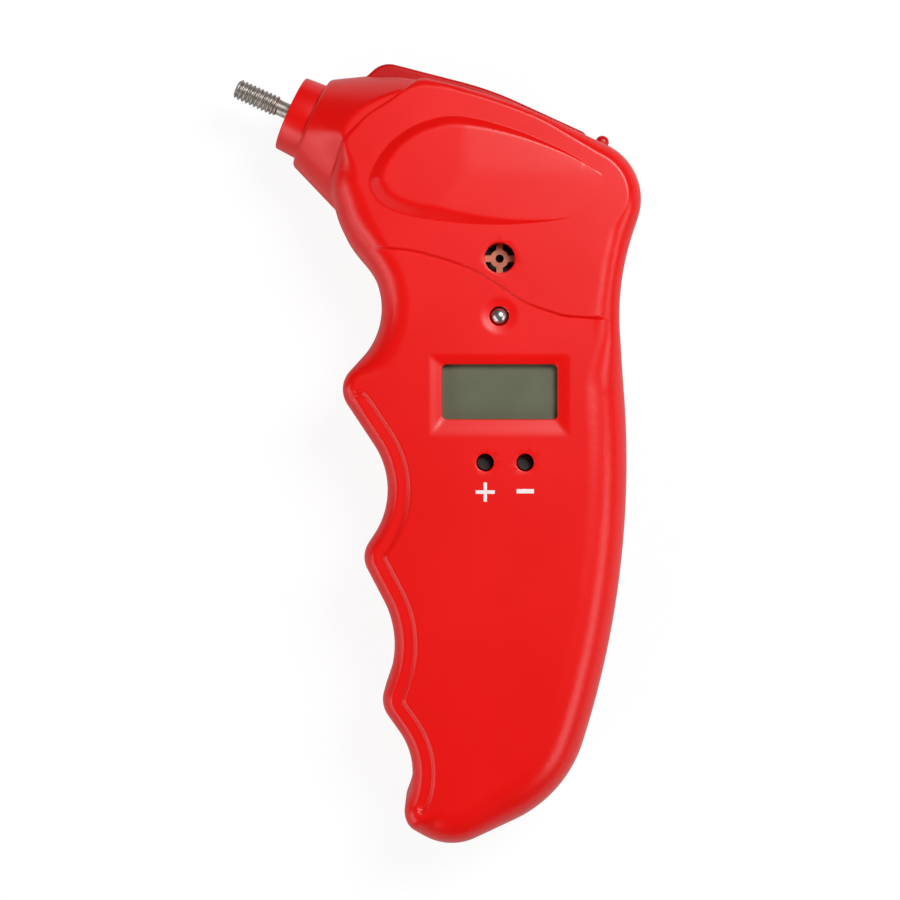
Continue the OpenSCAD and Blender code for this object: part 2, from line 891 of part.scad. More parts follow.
module read_lever() {
    points = rounded(lever_corners, chord_error / 4);
    foot_w = 2.4;
    foot_root = lever_corners[5][1] + over;
    color(lever_red)
        at_nose()
            difference() {
                union() {
                    translate([0, 0, -lever_w / 2])
                        linear_extrude(lever_w)
                            polygon([for (p = points) p[0]]);
                    block(
                        lever_foot_at - foot_w / 2, lever_foot_at + foot_w / 2, lever_foot_low, foot_root,
                        -lever_w / 4, lever_w / 4
                    );
                }
                post(lever_pivot, -lever_w, lever_w, lever_pin_d / 2 + running_fit);
            }
}

module lever_pin() {
    color(steel)
        at_nose()
            post(lever_pivot, floor_z - split_z + seat_gap, front_depth - wall - seat_gap, lever_pin_d / 2);
}

// Height of the lever's underside over its spring
lever_under = lever_corners[6][1] + (lever_corners[5][1] - lever_corners[6][1])
    * (lever_spring_at - lever_corners[6][0]) / (lever_corners[5][0] - lever_corners[6][0]);
module lever_spring() {
    turns = 5;
    lean = 0.25;
    color(steel)
        at_nose()
            translate([lever_spring_at, shelf_high, 0])
                rotate([-90, 0, 0])
                    spring(lever_spring_d, lever_under - shelf_high - lean, turns, lever_spring_wire);
}

// Side switch on the sensor board, its plunger pointing to the top edge
module side_switch(at, top) {
    difference() {
        block(at - switch_w / 2, at + switch_w / 2, top - switch_depth, top, -sensor_drop, switch_h);
        cross_bar(at, top - plunger_in - plunger_play, top + over, plunger_r + running_fit);
    }
}

plunger_out = 1.1;
plunger_in = 1.8;
plunger_play = 1.2;
read_switch_top = lever_foot_low - plunger_out - running_fit;
power_switch_top = button_low - plunger_out - 2 * running_fit;

module side_plunger(at, top) {
    cross_bar(at, top - plunger_in, top + plunger_out, plunger_r);
}

module read_switch_base() {
    color(switch_black)
        at_nose()
            side_switch(lever_foot_at, read_switch_top);
}

module read_switch_plunger() {
    color(steel)
        at_nose()
            side_plunger(lever_foot_at, read_switch_top);
}

module power_switch_base() {
    color(switch_black)
        at_nose()
            side_switch(button_at, power_switch_top);
}

module power_switch_plunger() {
    color(steel)
        at_nose()
            side_plunger(button_at, power_switch_top);
}

module power_button() {
    r = button_w / 2;
    half = button_length / 2 - r;
    top = button_edge + button_proud - r;
    flange_high = button_edge - wall - 2 * slide_gap - button_flange;
    color(lever_red)
        at_nose()
            translate([button_at, 0, 0]) {
                translate([0, top, 0]) {
                    cylinder(h = 2 * half, r = r, center = true);
                    for (side = [-1, 1])
                        translate([0, 0, side * half])
                            sphere(r = r);
                }
                block(-r, r, button_low, top, -half, half);
                block(
                    -r - slide_gap, r + slide_gap, flange_high - button_flange, flange_high,
                    -half - r / 2, half + r / 2
                );
            }
}

module main_board() {
    color(board_green)
        difference() {
            block(
                display_x - board_w / 2, display_x + board_w / 2, board_y0, board_y1, board_low, board_top
            );
            for (at = board_screw_at)
                post(at, board_low - over, board_top + over, board_screw_d / 2 + seat_gap);
        }
}

module board_screw(at, head_low, length) {
    screw(at, head_low, board_head_t, board_head_d / 2, length, board_screw_d / 2);
}

module board_screws() {
    board_screw_length = 5;
    sensor_screw_length = 4.5;
    color(steel) {
        for (at = board_screw_at)
            board_screw(at, board_low - board_head_t, board_screw_length);
        at_nose()
            for (at = sensor_screws)
                translate([0, 0, -sensor_drop])
                    mirror([0, 0, 1])
                        board_screw(at, -board_head_t, sensor_screw_length);
    }
}

module lcd_glass() {
    color([0.55, 0.58, 0.48])
        block(
            display_x - lcd_w / 2, display_x + lcd_w / 2, display_y - lcd_h / 2, display_y + lcd_h / 2,
            lcd_low, lcd_top
        );
}

module lcd_holder() {
    w = lcd_w / 2 + seat_gap;
    h = lcd_h / 2 + seat_gap;
    color(switch_black)
        difference() {
            block(
                display_x - w - holder_wall, display_x + w + holder_wall,
                display_y - h - holder_wall, display_y + h + holder_wall, board_top, lcd_top
            );
            block(
                display_x - w, display_x + w, display_y - h, display_y + h, board_top - over, lcd_top + over
            );
        }
}

module contact_strips() {
    strip_w = 1.8;
    end_gap = 0.5;
    color([0.85, 0.6, 0.65])
        for (side = [-1, 1])
            translate([display_x, display_y + side * (lcd_h - strip_w) / 2, board_top + strip_h / 2])
                cube([lcd_w - 2 * end_gap, strip_w, strip_h], center = true);
}

module controller_chip() {
    chip_r = 4;
    chip_h = 1.3;
    chip_rise = 10;
    at = [display_x, display_y + chip_rise];
    sphere_r = (chip_r * chip_r + chip_h * chip_h) / (2 * chip_h);
    color(switch_black)
        intersection() {
            translate([at[0], at[1], board_low - chip_h + sphere_r])
                sphere(r = sphere_r);
            post(at, board_low - chip_h - over, board_low, chip_r);
        }
}

module sounder_can() {
    rim = 0.8;
    depth = 2;
    color(switch_black)
        difference() {
            post(sounder_at, board_top, sound_plate_low, sounder_d / 2);
            post(sounder_at, sound_plate_low - depth, sound_plate_low + over, sounder_d / 2 - rim);
        }
}

module sounder_plate() {
    hub_r = 1.65;
    hub_hole_r = 0.75;
    slot_r = 3.6;
    spoke_w = 1.15;
    low = sound_plate_low;
    high = low + sound_plate_t;
    color(copper)
        difference() {
            post(sounder_at, low, high, sounder_d / 2 - seat_gap);
            post(sounder_at, low - over, high + over, hub_hole_r);
            difference() {
                post(sounder_at, low - over, high + over, slot_r);
                post(sounder_at, low - 2 * over, high + 2 * over, hub_r);
                for (a = [0, 90])
                    translate([sounder_at[0], sounder_at[1], low])
                        rotate([0, 0, a])
                            cube([sounder_d, spoke_w, sounder_d], center = true);
            }
        }
}

module indicator_lamp() {
    r = lamp_d / 2;
    rim = 0.4;
    color([0.85, 0.87, 0.9]) {
        post(lamp_at, lamp_low, lamp_low + lamp_rim_t, r + rim);
        post(lamp_at, lamp_low + lamp_rim_t, lamp_low + lamp_h - r, r);
        translate([lamp_at[0], lamp_at[1], lamp_low + lamp_h - r])
            sphere(r = r);
    }
}

module lamp_leads() {
    lead_pitch = 1.27;
    lead_d = 0.5;
    color(steel)
        for (side = [-1, 1])
            post(lamp_at + [side * lead_pitch / 2, 0], board_top, lamp_low, lead_d / 2);
}

module set_switch_bases() {
    floor_h = 2.4;
    color(switch_black)
        for (side = [-1, 1])
            translate([set_at[0] + side * set_pitch / 2, set_at[1], 0])
                difference() {
                    block(
                        -set_base_w / 2, set_base_w / 2, -set_base_w / 2, set_base_w / 2,
                        board_top, board_top + set_base_h
                    );
                    post([0, 0], board_top + floor_h, face_z, set_plunger_d / 2 + running_fit);
                }
}

module set_plunger(side) {
    at = set_at + [side * set_pitch / 2, 0];
    color(switch_black)
        post(at, set_plunger_top - set_plunger_h, set_plunger_top, set_plunger_d / 2);
}

module plus_plunger() {
    set_plunger(-1);
}

module minus_plunger() {
    set_plunger(1);
}

module battery_door() {
    rib_w = 0.8;
    rib_depth = 0.4;
    grip_half = 5;
    grip_in = 8;
    grip_y = bay_y0 + grip_in;
    color(case_red)
        difference() {
            union() {
                linear_extrude(door_t)
                    door_plan(0);
                for (side = [-1, 1])
                    block(
                        cell_x + side * cell_pitch / 2 - tongue_w / 2,
                        cell_x + side * cell_pitch / 2 + tongue_w / 2,
                        bay_y1 - over + cover_gap, bay_y1 + door_ledge + tongue_out,
                        door_top - sliver, door_top + door_t - cover_gap
                    );
            }
            post(door_screw_at, -over, door_top + over, board_screw_d / 2 + seat_gap);
            post(door_screw_at, -over, door_head_t + cover_gap, board_head_d / 2 + cover_gap);
            for (k = [-3:3])
                block(
                    cell_x - grip_half, cell_x + grip_half,
                    grip_y + 2 * k * rib_w, grip_y + (2 * k + 1) * rib_w, -over, rib_depth
                );
        }
}

module battery_door_screw() {
    color(steel)
        screw(
            door_screw_at, cover_gap, door_head_t, board_head_d / 2, door_screw_length - over,
            board_screw_d / 2
        );
}

// A cell along Y, its contact at the far end, with a plain jacket
module cell() {
    rotate([-90, 0, 0]) {
        cylinder(h = cell_length, d = cell_d);
        translate([0, 0, cell_length])
            cylinder(h = nub_h, d = nub_d);
    }
}

module battery_cells() {
    color([0.2, 0.24, 0.3]) {
        translate([cell_x - cell_pitch / 2, bay_y1 - plate_t - nub_h - cell_length, cell_z])
            cell();
        translate([cell_x + cell_pitch / 2, bay_y0 + plate_t + nub_h + cell_length, cell_z])
            mirror([0, 1, 0])
                cell();
    }
}

module battery_springs() {
    turns = 3;
    wire_d = 0.6;
    color(steel) {
        translate([cell_x - cell_pitch / 2, bay_y0 + plate_t, cell_z])
            rotate([-90, 0, 0])
                spring(nub_d, cell_spring_length, turns, wire_d);
        translate([cell_x + cell_pitch / 2, bay_y1 - plate_t, cell_z])
            rotate([90, 0, 0])
                spring(nub_d, cell_spring_length, turns, wire_d);
    }
}

module battery_terminals() {
    color(steel)
        for (side = [-1, 1])
            translate([cell_x + side * cell_pitch / 2, 0, cell_z]) {
                block(
                    -terminal_w / 2, terminal_w / 2, bay_y1 - plate_t, bay_y1,
                    -terminal_h / 2, terminal_h / 2
                );
                block(
                    -tab_w / 2, tab_w / 2, bay_y1 - sliver, bay_y1 + bay_wall + tab_out,
                    tab_h, 2 * tab_h
                );
            }
}

module battery_bridge() {
    half_w = (cell_pitch + terminal_w) / 2;
    color(steel)
        block(
            cell_x - half_w, cell_x + half_w, bay_y0, bay_y0 + plate_t,
            cell_z - terminal_h / 2, cell_z + terminal_h / 2
        );
}

// Insulated lead from a terminal tab up to the underside of the main board
module battery_lead(side) {
    x = cell_x + side * cell_pitch / 2;
    y = bay_y1 + bay_wall + tab_out;
    z = cell_z + 1.5 * tab_h;
    bend = 3;
    steps = 5;
    sides = 8;
    wire(
        [
            [x, y, z],
            for (k = [0:steps])
                let (a = 90 * k / steps)
                    [x, y + over + bend * sin(a), z + bend * (1 - cos(a))],
            [x, y + over + bend, board_low]
        ],
        lead_r, sides, [1, 0, 0]
    );
}

module battery_lead_red() {
    color([0.75, 0.1, 0.1])
        battery_lead(-1);
}

module battery_lead_black() {
    color(switch_black)
        battery_lead(1);
}

module sensor_ribbon() {
    ribbon_w = 4;
    ribbon_t = 0.5;
    side_gap = 1;
    end_gap = 1.2;
    color([0.75, 0.76, 0.78])
        at_nose()
            block(
                sensor_end - end_gap - ribbon_t, sensor_end - end_gap,
                sensor_low + side_gap, sensor_low + side_gap + ribbon_w, -sensor_drop, board_low - split_z
            );
}

front_shell();
rear_shell();
case_screws();
nose_collar();
guide_bush();
probe_rod();
probe_stop_ring();
probe_spring();
rear_guide();
wiper_carrier();
wiper_contacts();
sensor_board();
sensor_tracks();
read_lever();
lever_pin();
lever_spring();
read_switch_base();
read_switch_plunger();
power_button();
power_switch_base();
power_switch_plunger();
main_board();
board_screws();
lcd_glass();
lcd_holder();
contact_strips();
controller_chip();
sounder_can();
sounder_plate();
indicator_lamp();
lamp_leads();
set_switch_bases();
plus_plunger();
minus_plunger();
battery_door();
battery_door_screw();
battery_cells();
battery_springs();
battery_terminals();
battery_bridge();
battery_lead_red();
battery_lead_black();
sensor_ribbon();
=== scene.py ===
"""Looks of a digital tire tread gauge: red pistol-grip case, sprung probe, display and top lever."""

import json
import logging
import math
from dataclasses import dataclass, field
from enum import Enum, IntEnum
from typing import Any, Iterable, Optional, Sequence

import bmesh
import bpy
import numpy as np
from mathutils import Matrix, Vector
from mathutils.geometry import delaunay_2d_cdt

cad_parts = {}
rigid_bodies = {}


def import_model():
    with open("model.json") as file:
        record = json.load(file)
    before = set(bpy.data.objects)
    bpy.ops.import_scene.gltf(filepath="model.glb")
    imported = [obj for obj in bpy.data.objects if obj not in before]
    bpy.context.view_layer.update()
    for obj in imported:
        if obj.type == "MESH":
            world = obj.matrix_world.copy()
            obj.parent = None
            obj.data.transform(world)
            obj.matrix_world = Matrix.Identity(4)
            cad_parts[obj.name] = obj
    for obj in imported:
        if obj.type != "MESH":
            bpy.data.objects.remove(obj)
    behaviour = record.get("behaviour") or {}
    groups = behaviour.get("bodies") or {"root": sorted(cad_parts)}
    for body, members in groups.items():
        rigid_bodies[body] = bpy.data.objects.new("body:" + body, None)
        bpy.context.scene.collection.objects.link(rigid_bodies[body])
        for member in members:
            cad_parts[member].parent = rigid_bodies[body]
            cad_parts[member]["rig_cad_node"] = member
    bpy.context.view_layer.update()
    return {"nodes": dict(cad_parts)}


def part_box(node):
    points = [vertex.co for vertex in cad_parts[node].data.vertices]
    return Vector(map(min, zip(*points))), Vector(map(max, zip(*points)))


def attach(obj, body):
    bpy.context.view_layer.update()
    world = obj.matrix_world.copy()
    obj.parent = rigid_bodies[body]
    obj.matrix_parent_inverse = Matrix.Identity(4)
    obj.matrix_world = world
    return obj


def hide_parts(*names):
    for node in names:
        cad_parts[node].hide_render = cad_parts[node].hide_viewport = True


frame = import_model()

LOG = logging.getLogger("tread_gauge")
MM = 0.001

# Points closer than this, in millimetres, become one.
WELD = 2e-4
# Points that are tested at once against every side of a line, to bound the memory.
BATCH = 1500
# Heights that stand for "nothing here" in a height field, far under every surface.
NO_BODY, NO_NOSE = -80.0, -50.0

# Places on the case that more than one piece needs, in millimetres.
LAMP_AT = (11.2, 24.5)
SCREW_AT = ((-10, 44.5), (31.3, 44.6), (-9, 12.5), (27.8, 12), (8, -63.6))

Array = np.ndarray


class Body(str, Enum):
    """The rigid bodies of the gauge that pieces ride on."""

    CASE = "case"
    PROBE = "probe"
    LEVER = "lever"
    POWER = "power"


class Skin(IntEnum):
    """Which stretch of a shell a face belongs to; edges between most of them are crisp."""

    FACE = 0
    WALL = 1
    SEAM = 2
    RIM = 3
    INSIDE = 4
    HOLE = 5
    POCKET = 6


# Geometry helpers


def ease(x: Array) -> Array:
    """Smooth step from 0 to 1."""
    x = np.clip(x, 0.0, 1.0)
    return x * x * (3.0 - 2.0 * x)


def smooth_max(a: Array, b: Array, k: float) -> Array:
    """Larger of two heights, blended over k where they are close."""
    h = np.maximum(k - np.abs(a - b), 0.0) / k
    return np.maximum(a, b) + h * h * k / 4.0


def flow_line(points: Sequence[Sequence[float]], steps: int = 12) -> Array:
    """Smooth line through points.

    Args:
        points: x and y of each point, in millimetres.
        steps: samples between two points.

    Returns:
        The samples, one row each.
    """
    p = np.asarray(points, float)
    p = np.vstack([2 * p[0] - p[1], p, 2 * p[-1] - p[-2]])
    t = np.linspace(0.0, 1.0, steps, endpoint=False)[:, None]
    rows = []
    for a, b, c, d in zip(p, p[1:], p[2:], p[3:]):
        rows.append(
            0.5 * (2 * b + (c - a) * t + (2 * a - 5 * b + 4 * c - d) * t ** 2 + (3 * b - a - 3 * c + d) * t ** 3)
        )
    return np.vstack([*rows, p[-2][None]])


def inside_loops(points: Array, loops: Sequence[Array]) -> Array:
    """Even-odd test of points against closed loops.

    Args:
        points: x and y, one row each.
        loops: closed polygons, the first point not repeated.

    Returns:
        True for each point inside.
    """
    a = np.vstack(loops)
    b = np.vstack([np.roll(loop, -1, axis=0) for loop in loops])
    inside = np.zeros(len(points), bool)
    for start in range(0, len(points), BATCH):
        part = slice(start, start + BATCH)
        p = points[part]
        y = p[:, 1][:, None]
        spans = (a[None, :, 1] > y) != (b[None, :, 1] > y)
        with np.errstate(divide="ignore", invalid="ignore"):
            cross = a[None, :, 0] + (y - a[None, :, 1]) * (b - a)[None, :, 0] / (b - a)[None, :, 1]
        inside[part] = (spans & (cross > p[:, 0][:, None])).sum(axis=1) % 2 == 1
    return inside


def circle(centre: Sequence[float], r: float, count: int) -> Array:
    """Points of a circle, anticlockwise."""
    a = np.linspace(0.0, 2.0 * math.pi, count, endpoint=False)
    return np.column_stack([centre[0] + r * np.cos(a), centre[1] + r * np.sin(a)])


def round_rect(centre: Sequence[float], half: Sequence[float], r: float, arc: int = 6) -> Array:
    """Points of a rectangle with round corners, anticlockwise, its sides divided as well.

    Args:
        centre: middle of the rectangle.
        half: half of its width and height.
        r: corner radius.
        arc: steps in a corner.

    Returns:
        The loop's points.
    """
    points = []
    for k, (sx, sy) in enumerate([(1, 1), (-1, 1), (-1, -1), (1, -1)]):
        for i in range(arc + 1):
            a = math.pi / 2 * (k + i / arc)
            points.append(
                [centre[0] + sx * (half[0] - r) + r * math.cos(a), centre[1] + sy * (half[1] - r) + r * math.sin(a)]
            )
    return divide_loop(np.array(points), 0.8)


def divide_loop(loop: Array, spacing: float) -> Array:
    """Loop with points added so that no side is longer than the spacing."""
    rows = []
    for p, q in zip(loop, np.roll(loop, -1, axis=0)):
        n = max(1, math.ceil(np.linalg.norm(q - p) / spacing))
        rows.append(p + (q - p) * np.linspace(0, 1, n, endpoint=False)[:, None])
    return np.vstack(rows)


def beside(loop: Array, gap: float) -> Array:
    """Points beside a closed loop, to its left by a gap."""
    along = np.roll(loop, -1, axis=0) - np.roll(loop, 1, axis=0)
    left = np.column_stack([-along[:, 1], along[:, 0]])
    return loop + gap * left / np.maximum(np.linalg.norm(left, axis=1), 1e-9)[:, None]


def at_height(points: Array, z: Any) -> Array:
    """Points of a plan raised to a height, one for all of them or one each."""
    return np.column_stack([points, np.broadcast_to(z, len(points))])


def ring_edges(count: int, first: int = 0) -> list[tuple[int, int]]:
    """Sides of a closed loop whose points are numbered in a row."""
    return [(first + k, first + (k + 1) % count) for k in range(count)]


def triangulate(
    points: Array, edges: Sequence[tuple[int, int]], loops: Sequence[Array]
) -> tuple[Array, Array, Array]:
    """Triangles of a flat region with fixed edges.

    Args:
        points: x and y in millimetres.
        edges: pairs of point numbers that stay edges, those of the loops first.
        loops: the region's border and the borders of its holes.

    Returns:
        The points after triangulation, the triangles (anticlockwise), and for each point the first given
        point that it came from, or -1.
    """
    made, sides, faces, origin, source, _ = delaunay_2d_cdt([Vector(p) for p in points], list(edges), [], 0, 1e-5)
    verts = np.array([(v.x, v.y) for v in made])
    tris = np.array([f for f in faces if len(f) == 3], int)
    turns: list[float] = []
    for number, loop in enumerate(loops):
        after = np.roll(loop, -1, axis=0)
        swept = float((loop[:, 0] * after[:, 1] - loop[:, 1] * after[:, 0]).sum())
        turns += [math.copysign(1.0, swept) * (-1.0 if number else 1.0)] * len(loop)
    walls = []
    for (i, j), given in zip(sides, source):
        first = min((k for k in given if k < len(turns)), default=-1)
        if first >= 0:
            start, end = edges[first]
            forward = float((verts[j] - verts[i]) @ (points[end] - points[start])) * turns[first] > 0
            walls.append((i, j) if forward else (j, i))
    wall = np.array(walls, int)
    known = wall[:, 0] * len(verts) + wall[:, 1]
    label = regions(tris, np.sort(wall, axis=1), len(verts))
    inner = np.zeros(len(tris))
    for i, j in ((0, 1), (1, 2), (2, 0)):
        ahead, behind = tris[:, i] * len(verts) + tris[:, j], tris[:, j] * len(verts) + tris[:, i]
        inner += np.isin(ahead, known).astype(float) - np.isin(behind, known)
    keep = np.bincount(label, weights=inner, minlength=len(tris))[label] > 0
    came = np.array([o[0] if o else -1 for o in origin])
    verts[came >= 0] = points[came[came >= 0]]
    return verts, tris[keep], came


def regions(tris: Array, walls: Array, count: int) -> Array:
    """Labels the triangles that can reach each other without crossing a wall.

    Args:
        tris: triangles by point numbers.
        walls: point numbers of the edges between regions.
        count: number of points.

    Returns:
        A label for each triangle.
    """
    sides = np.sort(np.vstack([tris[:, [0, 1]], tris[:, [1, 2]], tris[:, [2, 0]]]), axis=1)
    key = sides[:, 0] * count + sides[:, 1]
    order = np.argsort(key, kind="stable")
    key, owner = key[order], np.tile(np.arange(len(tris)), 3)[order]
    same = np.flatnonzero(key[:-1] == key[1:])
    same = same[~np.isin(key[same], walls[:, 0] * count + walls[:, 1])]
    i, j = owner[same], owner[same + 1]
    label = np.arange(len(tris))
    while True:
        low = label.copy()
        np.minimum.at(low, i, label[j])
        np.minimum.at(low, j, label[i])
        low = np.minimum(low, low[low])
        if (low == label).all():
            return label
        label = low


def border_loops(tris: Array) -> list[list[int]]:
    """Closed borders of a triangle set, with the region on the left."""
    edges = np.vstack([tris[:, [0, 1]], tris[:, [1, 2]], tris[:, [2, 0]]])
    known = {(int(a), int(b)) for a, b in edges}
    following = {a: b for a, b in known if (b, a) not in known}
    loops = []
    while following:
        start, at = following.popitem()
        loop = [start]
        while at != start:
            loop.append(at)
            at = following.pop(at)
        loops.append(loop)
    return loops


@dataclass
class Soup:
    """Triangles by their corners in millimetres, welded into one mesh at the end."""

    points: list[Array] = field(default_factory=list)
    faces: list[Array] = field(default_factory=list)
    tags: list[Array] = field(default_factory=list)
    count: int = 0

    def add(self, points: Array, faces: Any, tag: int) -> None:
        """Adds triangles over their own points."""
        faces = np.asarray(faces, int).reshape(-1, 3)
        self.points.append(np.asarray(points, float))
        self.faces.append(faces + self.count)
        self.tags.append(np.full(len(faces), int(tag)))
        self.count += len(points)

    def strip(self, first: Array, second: Array, tag: int, closed: bool = True) -> None:
        """Adds the band between two rows of equally many points, facing away from the region on their left.

        Args:
            first: upper row.
            second: lower row.
            tag: stretch of the shell.
            closed: whether the rows close on themselves.
        """
        n = len(first)
        i = np.arange(n if closed else n - 1)
        j = (i + 1) % n
        quads = np.vstack([np.column_stack([i, i + n, j + n]), np.column_stack([i, j + n, j])])
        self.add(np.vstack([first, second]), quads, tag)

    def build(self, name: str, smooth: Iterable[tuple[int, int]] = (), flip: bool = False) -> bpy.types.Object:
        """Welds the triangles into an object.

        Args:
            name: object's name.
            smooth: pairs of tags whose common edges stay smooth.
            flip: turn every face round, after a mirrored build.

        Returns:
            The object, at the origin, in metres.
        """
        points, faces, tags = np.vstack(self.points), np.vstack(self.faces), np.concatenate(self.tags)
        cells = np.round(points / WELD).astype(np.int64)
        _, first, back = np.unique(cells, axis=0, return_index=True, return_inverse=True)
        points, faces = points[first], back.reshape(-1)[faces]
        good = (faces[:, 0] != faces[:, 1]) & (faces[:, 1] != faces[:, 2]) & (faces[:, 2] != faces[:, 0])
        faces, tags = faces[good], tags[good]
        if flip:
            faces = faces[:, ::-1]
        mesh = bpy.data.meshes.new(name)
        mesh.from_pydata((points * MM).tolist(), [], faces.tolist())
        mesh.shade_smooth()
        soft = np.zeros((len(Skin) + 1, len(Skin) + 1), bool)
        np.fill_diagonal(soft, True)
        for a, b in smooth:
            soft[a, b] = soft[b, a] = True
        sides = np.sort(np.vstack([faces[:, [0, 1]], faces[:, [1, 2]], faces[:, [2, 0]]]), axis=1)
        key = sides[:, 0] * len(points) + sides[:, 1]
        order = np.argsort(key, kind="stable")
        key, owner = key[order], np.tile(tags, 3)[order]
        same = np.flatnonzero(key[:-1] == key[1:])
        crisp = np.unique(key[same[~soft[owner[same], owner[same + 1]]]])
        ends = np.zeros(len(mesh.edges) * 2, np.int64)
        mesh.edges.foreach_get("vertices", ends)
        ends = np.sort(ends.reshape(-1, 2), axis=1)
        flags = np.isin(ends[:, 0] * len(points) + ends[:, 1], crisp)
        attribute = mesh.attributes.get("sharp_edge") or mesh.attributes.new("sharp_edge", "BOOLEAN", "EDGE")
        attribute.data.foreach_set("value", flags)
        mesh.update()
        return link(bpy.data.objects.new(name, mesh))


def link(obj: bpy.types.Object) -> bpy.types.Object:
    """Puts an object into the scene."""
    bpy.context.scene.collection.objects.link(obj)
    return obj


def sharpen(obj: bpy.types.Object, degrees: float) -> None:
    """Shades an object smooth, with edges over the angle crisp."""
    obj.data.shade_smooth()
    obj.data.set_sharp_from_angle(angle=math.radians(degrees))


def eased(points: Sequence[Sequence[float]]) -> list[list[float]]:
    """Corners of a closed line, each rounded as widely as its neighbours allow.

    Args:
        points: x and y of each corner.

    Returns:
        x, y and radius of each corner.
    """
    at = np.asarray(points, float)
    corners = []
    for before, here, after in zip(np.roll(at, 1, axis=0), at, np.roll(at, -1, axis=0)):
        d1, d2 = here - before, after - here
        bend = abs(math.atan2(d1[0] * d2[1] - d1[1] * d2[0], float(d1 @ d2)))
        reach = 0.48 * min(np.linalg.norm(d1), np.linalg.norm(d2))
        corners.append([*here, reach / max(math.tan(bend / 2), 1e-3)])
    return corners


@dataclass(frozen=True)
class NoseAxis:
    """The probe's axis: t into the nose, lat towards the top edge, up out of the parting plane."""

    x: float = -22.55
    y: float = 60.2
    z: float = 12.0
    angle: float = 24.5

    @property
    def turn(self) -> tuple[float, float]:
        """Cosine and sine of the axis's slope."""
        return math.cos(math.radians(self.angle)), math.sin(math.radians(self.angle))

    def out(self, t: Any, lat: Any, up: Any) -> Array:
        """Points of the gauge's frame, one row each, from places along the axis."""
        c, s = self.turn
        t, lat, up = np.broadcast_arrays(*(np.asarray(v, float) for v in (t, lat, up)))
        x, y, z = self.x + c * t + s * lat, self.y - s * t + c * lat, self.z + up
        return np.column_stack([x.ravel(), y.ravel(), z.ravel()])

    def along(self, points: Array) -> tuple[Array, Array]:
        """Places t and lat of points in plan."""
        c, s = self.turn
        dx, dy = points[:, 0] - self.x, points[:, 1] - self.y
        return c * dx - s * dy, s * dx + c * dy


NOSE = NoseAxis()


@dataclass
class Outline:
    """Closed line with rounded corners, clockwise: x, y, corner radius, rounding of the edge.

    Samples lie a spacing apart, and the rounding changes softly over a reach along the line.
    """

    corners: Sequence[Sequence[float]]
    spacing: float = 0.45
    soften: float = 2.5
    points: Array = field(init=False)
    inward: Array = field(init=False)
    rounding: Array = field(init=False)
    place: Array = field(init=False)
    middles: list[float] = field(init=False)

    def __post_init__(self) -> None:
        """Samples the line."""
        n = len(self.corners)
        at = np.array([c[:2] for c in self.corners], float)
        rows, middle_rows, arcs = [], [], []
        for i, corner in enumerate(self.corners):
            d1 = at[i] - at[i - 1]
            d2 = at[(i + 1) % n] - at[i]
            d1, d2 = d1 / np.linalg.norm(d1), d2 / np.linalg.norm(d2)
            bend = math.atan2(d1[0] * d2[1] - d1[1] * d2[0], float(d1 @ d2))
            r, rounding = corner[2], corner[3] if len(corner) > 3 else 0.0
            start = at[i] - d1 * r * math.tan(abs(bend) / 2)
            side = math.copysign(1.0, bend) * np.array([-d1[1], d1[0]])
            steps = max(2, math.ceil(abs(bend) * r / self.spacing))
            arc = []
            for k in range(steps + 1):
                a = bend * k / steps
                turn = np.array([[math.cos(a), -math.sin(a)], [math.sin(a), math.cos(a)]])
                d = turn @ d1
                arc.append([*(start + r * side - r * (turn @ side)), d[1], -d[0], rounding])
            arcs.append(np.array(arc))
        for i, arc in enumerate(arcs):
            middle_rows.append(sum(len(r) for r in rows) + len(arc) // 2)
            rows.append(arc)
            after = arcs[(i + 1) % n][0]
            steps = max(1, math.ceil(np.linalg.norm(after[:2] - arc[-1][:2]) / self.spacing))
            rows.append(arc[-1] + (after - arc[-1]) * (np.arange(1, steps) / steps)[:, None])
        table = np.vstack([r for r in rows if len(r)])
        self.points, self.inward = table[:, :2], table[:, 2:4]
        ring = np.vstack([self.points, self.points[:1]])
        self.place = np.concatenate([[0.0], np.cumsum(np.linalg.norm(np.diff(ring, axis=0), axis=1))])
        self.middles = [float(self.place[k]) for k in middle_rows]
        spread = np.hanning(2 * round(self.soften / self.spacing) + 3)[1:-1]
        wide = len(spread)
        around = np.concatenate([table[-wide:, 4], table[:, 4], table[:wide, 4]])
        self.rounding = np.convolve(around, spread / spread.sum(), "same")[wide:-wide]

    def nearest(self, points: Array) -> tuple[Array, Array, Array, Array]:
        """Finds where points lie against the line.

        Args:
            points: x and y, one row each.

        Returns:
            Distance (positive inside), place along the line, rounding there and the inward normal there.
        """
        a, b = self.points, np.roll(self.points, -1, axis=0)
        d = b - a
        span = np.maximum((d * d).sum(axis=1), 1e-12)
        distance, number, share = (np.zeros(len(points)) for _ in range(3))
        for start in range(0, len(points), BATCH):
            part = slice(start, start + BATCH)
            p = points[part]
            off_x, off_y = p[:, None, 0] - a[None, :, 0], p[:, None, 1] - a[None, :, 1]
            f = np.clip((off_x * d[:, 0] + off_y * d[:, 1]) / span, 0.0, 1.0)
            gap = (off_x - f * d[:, 0]) ** 2 + (off_y - f * d[:, 1]) ** 2
            k = gap.argmin(axis=1)
            row = np.arange(len(p))
            distance[part], number[part], share[part] = np.sqrt(gap[row, k]), k, f[row, k]
        k = number.astype(int)
        n = (k + 1) % len(a)
        place = self.place[k] + share * np.sqrt(span[k])
        rounding = self.rounding[k] * (1 - share) + self.rounding[n] * share
        normal = self.inward[k] * (1 - share)[:, None] + self.inward[n] * share[:, None]
        normal /= np.linalg.norm(normal, axis=1)[:, None]
        sign = np.where(inside_loops(points, [self.points]), 1.0, -1.0)
        return distance * sign, place, rounding, normal


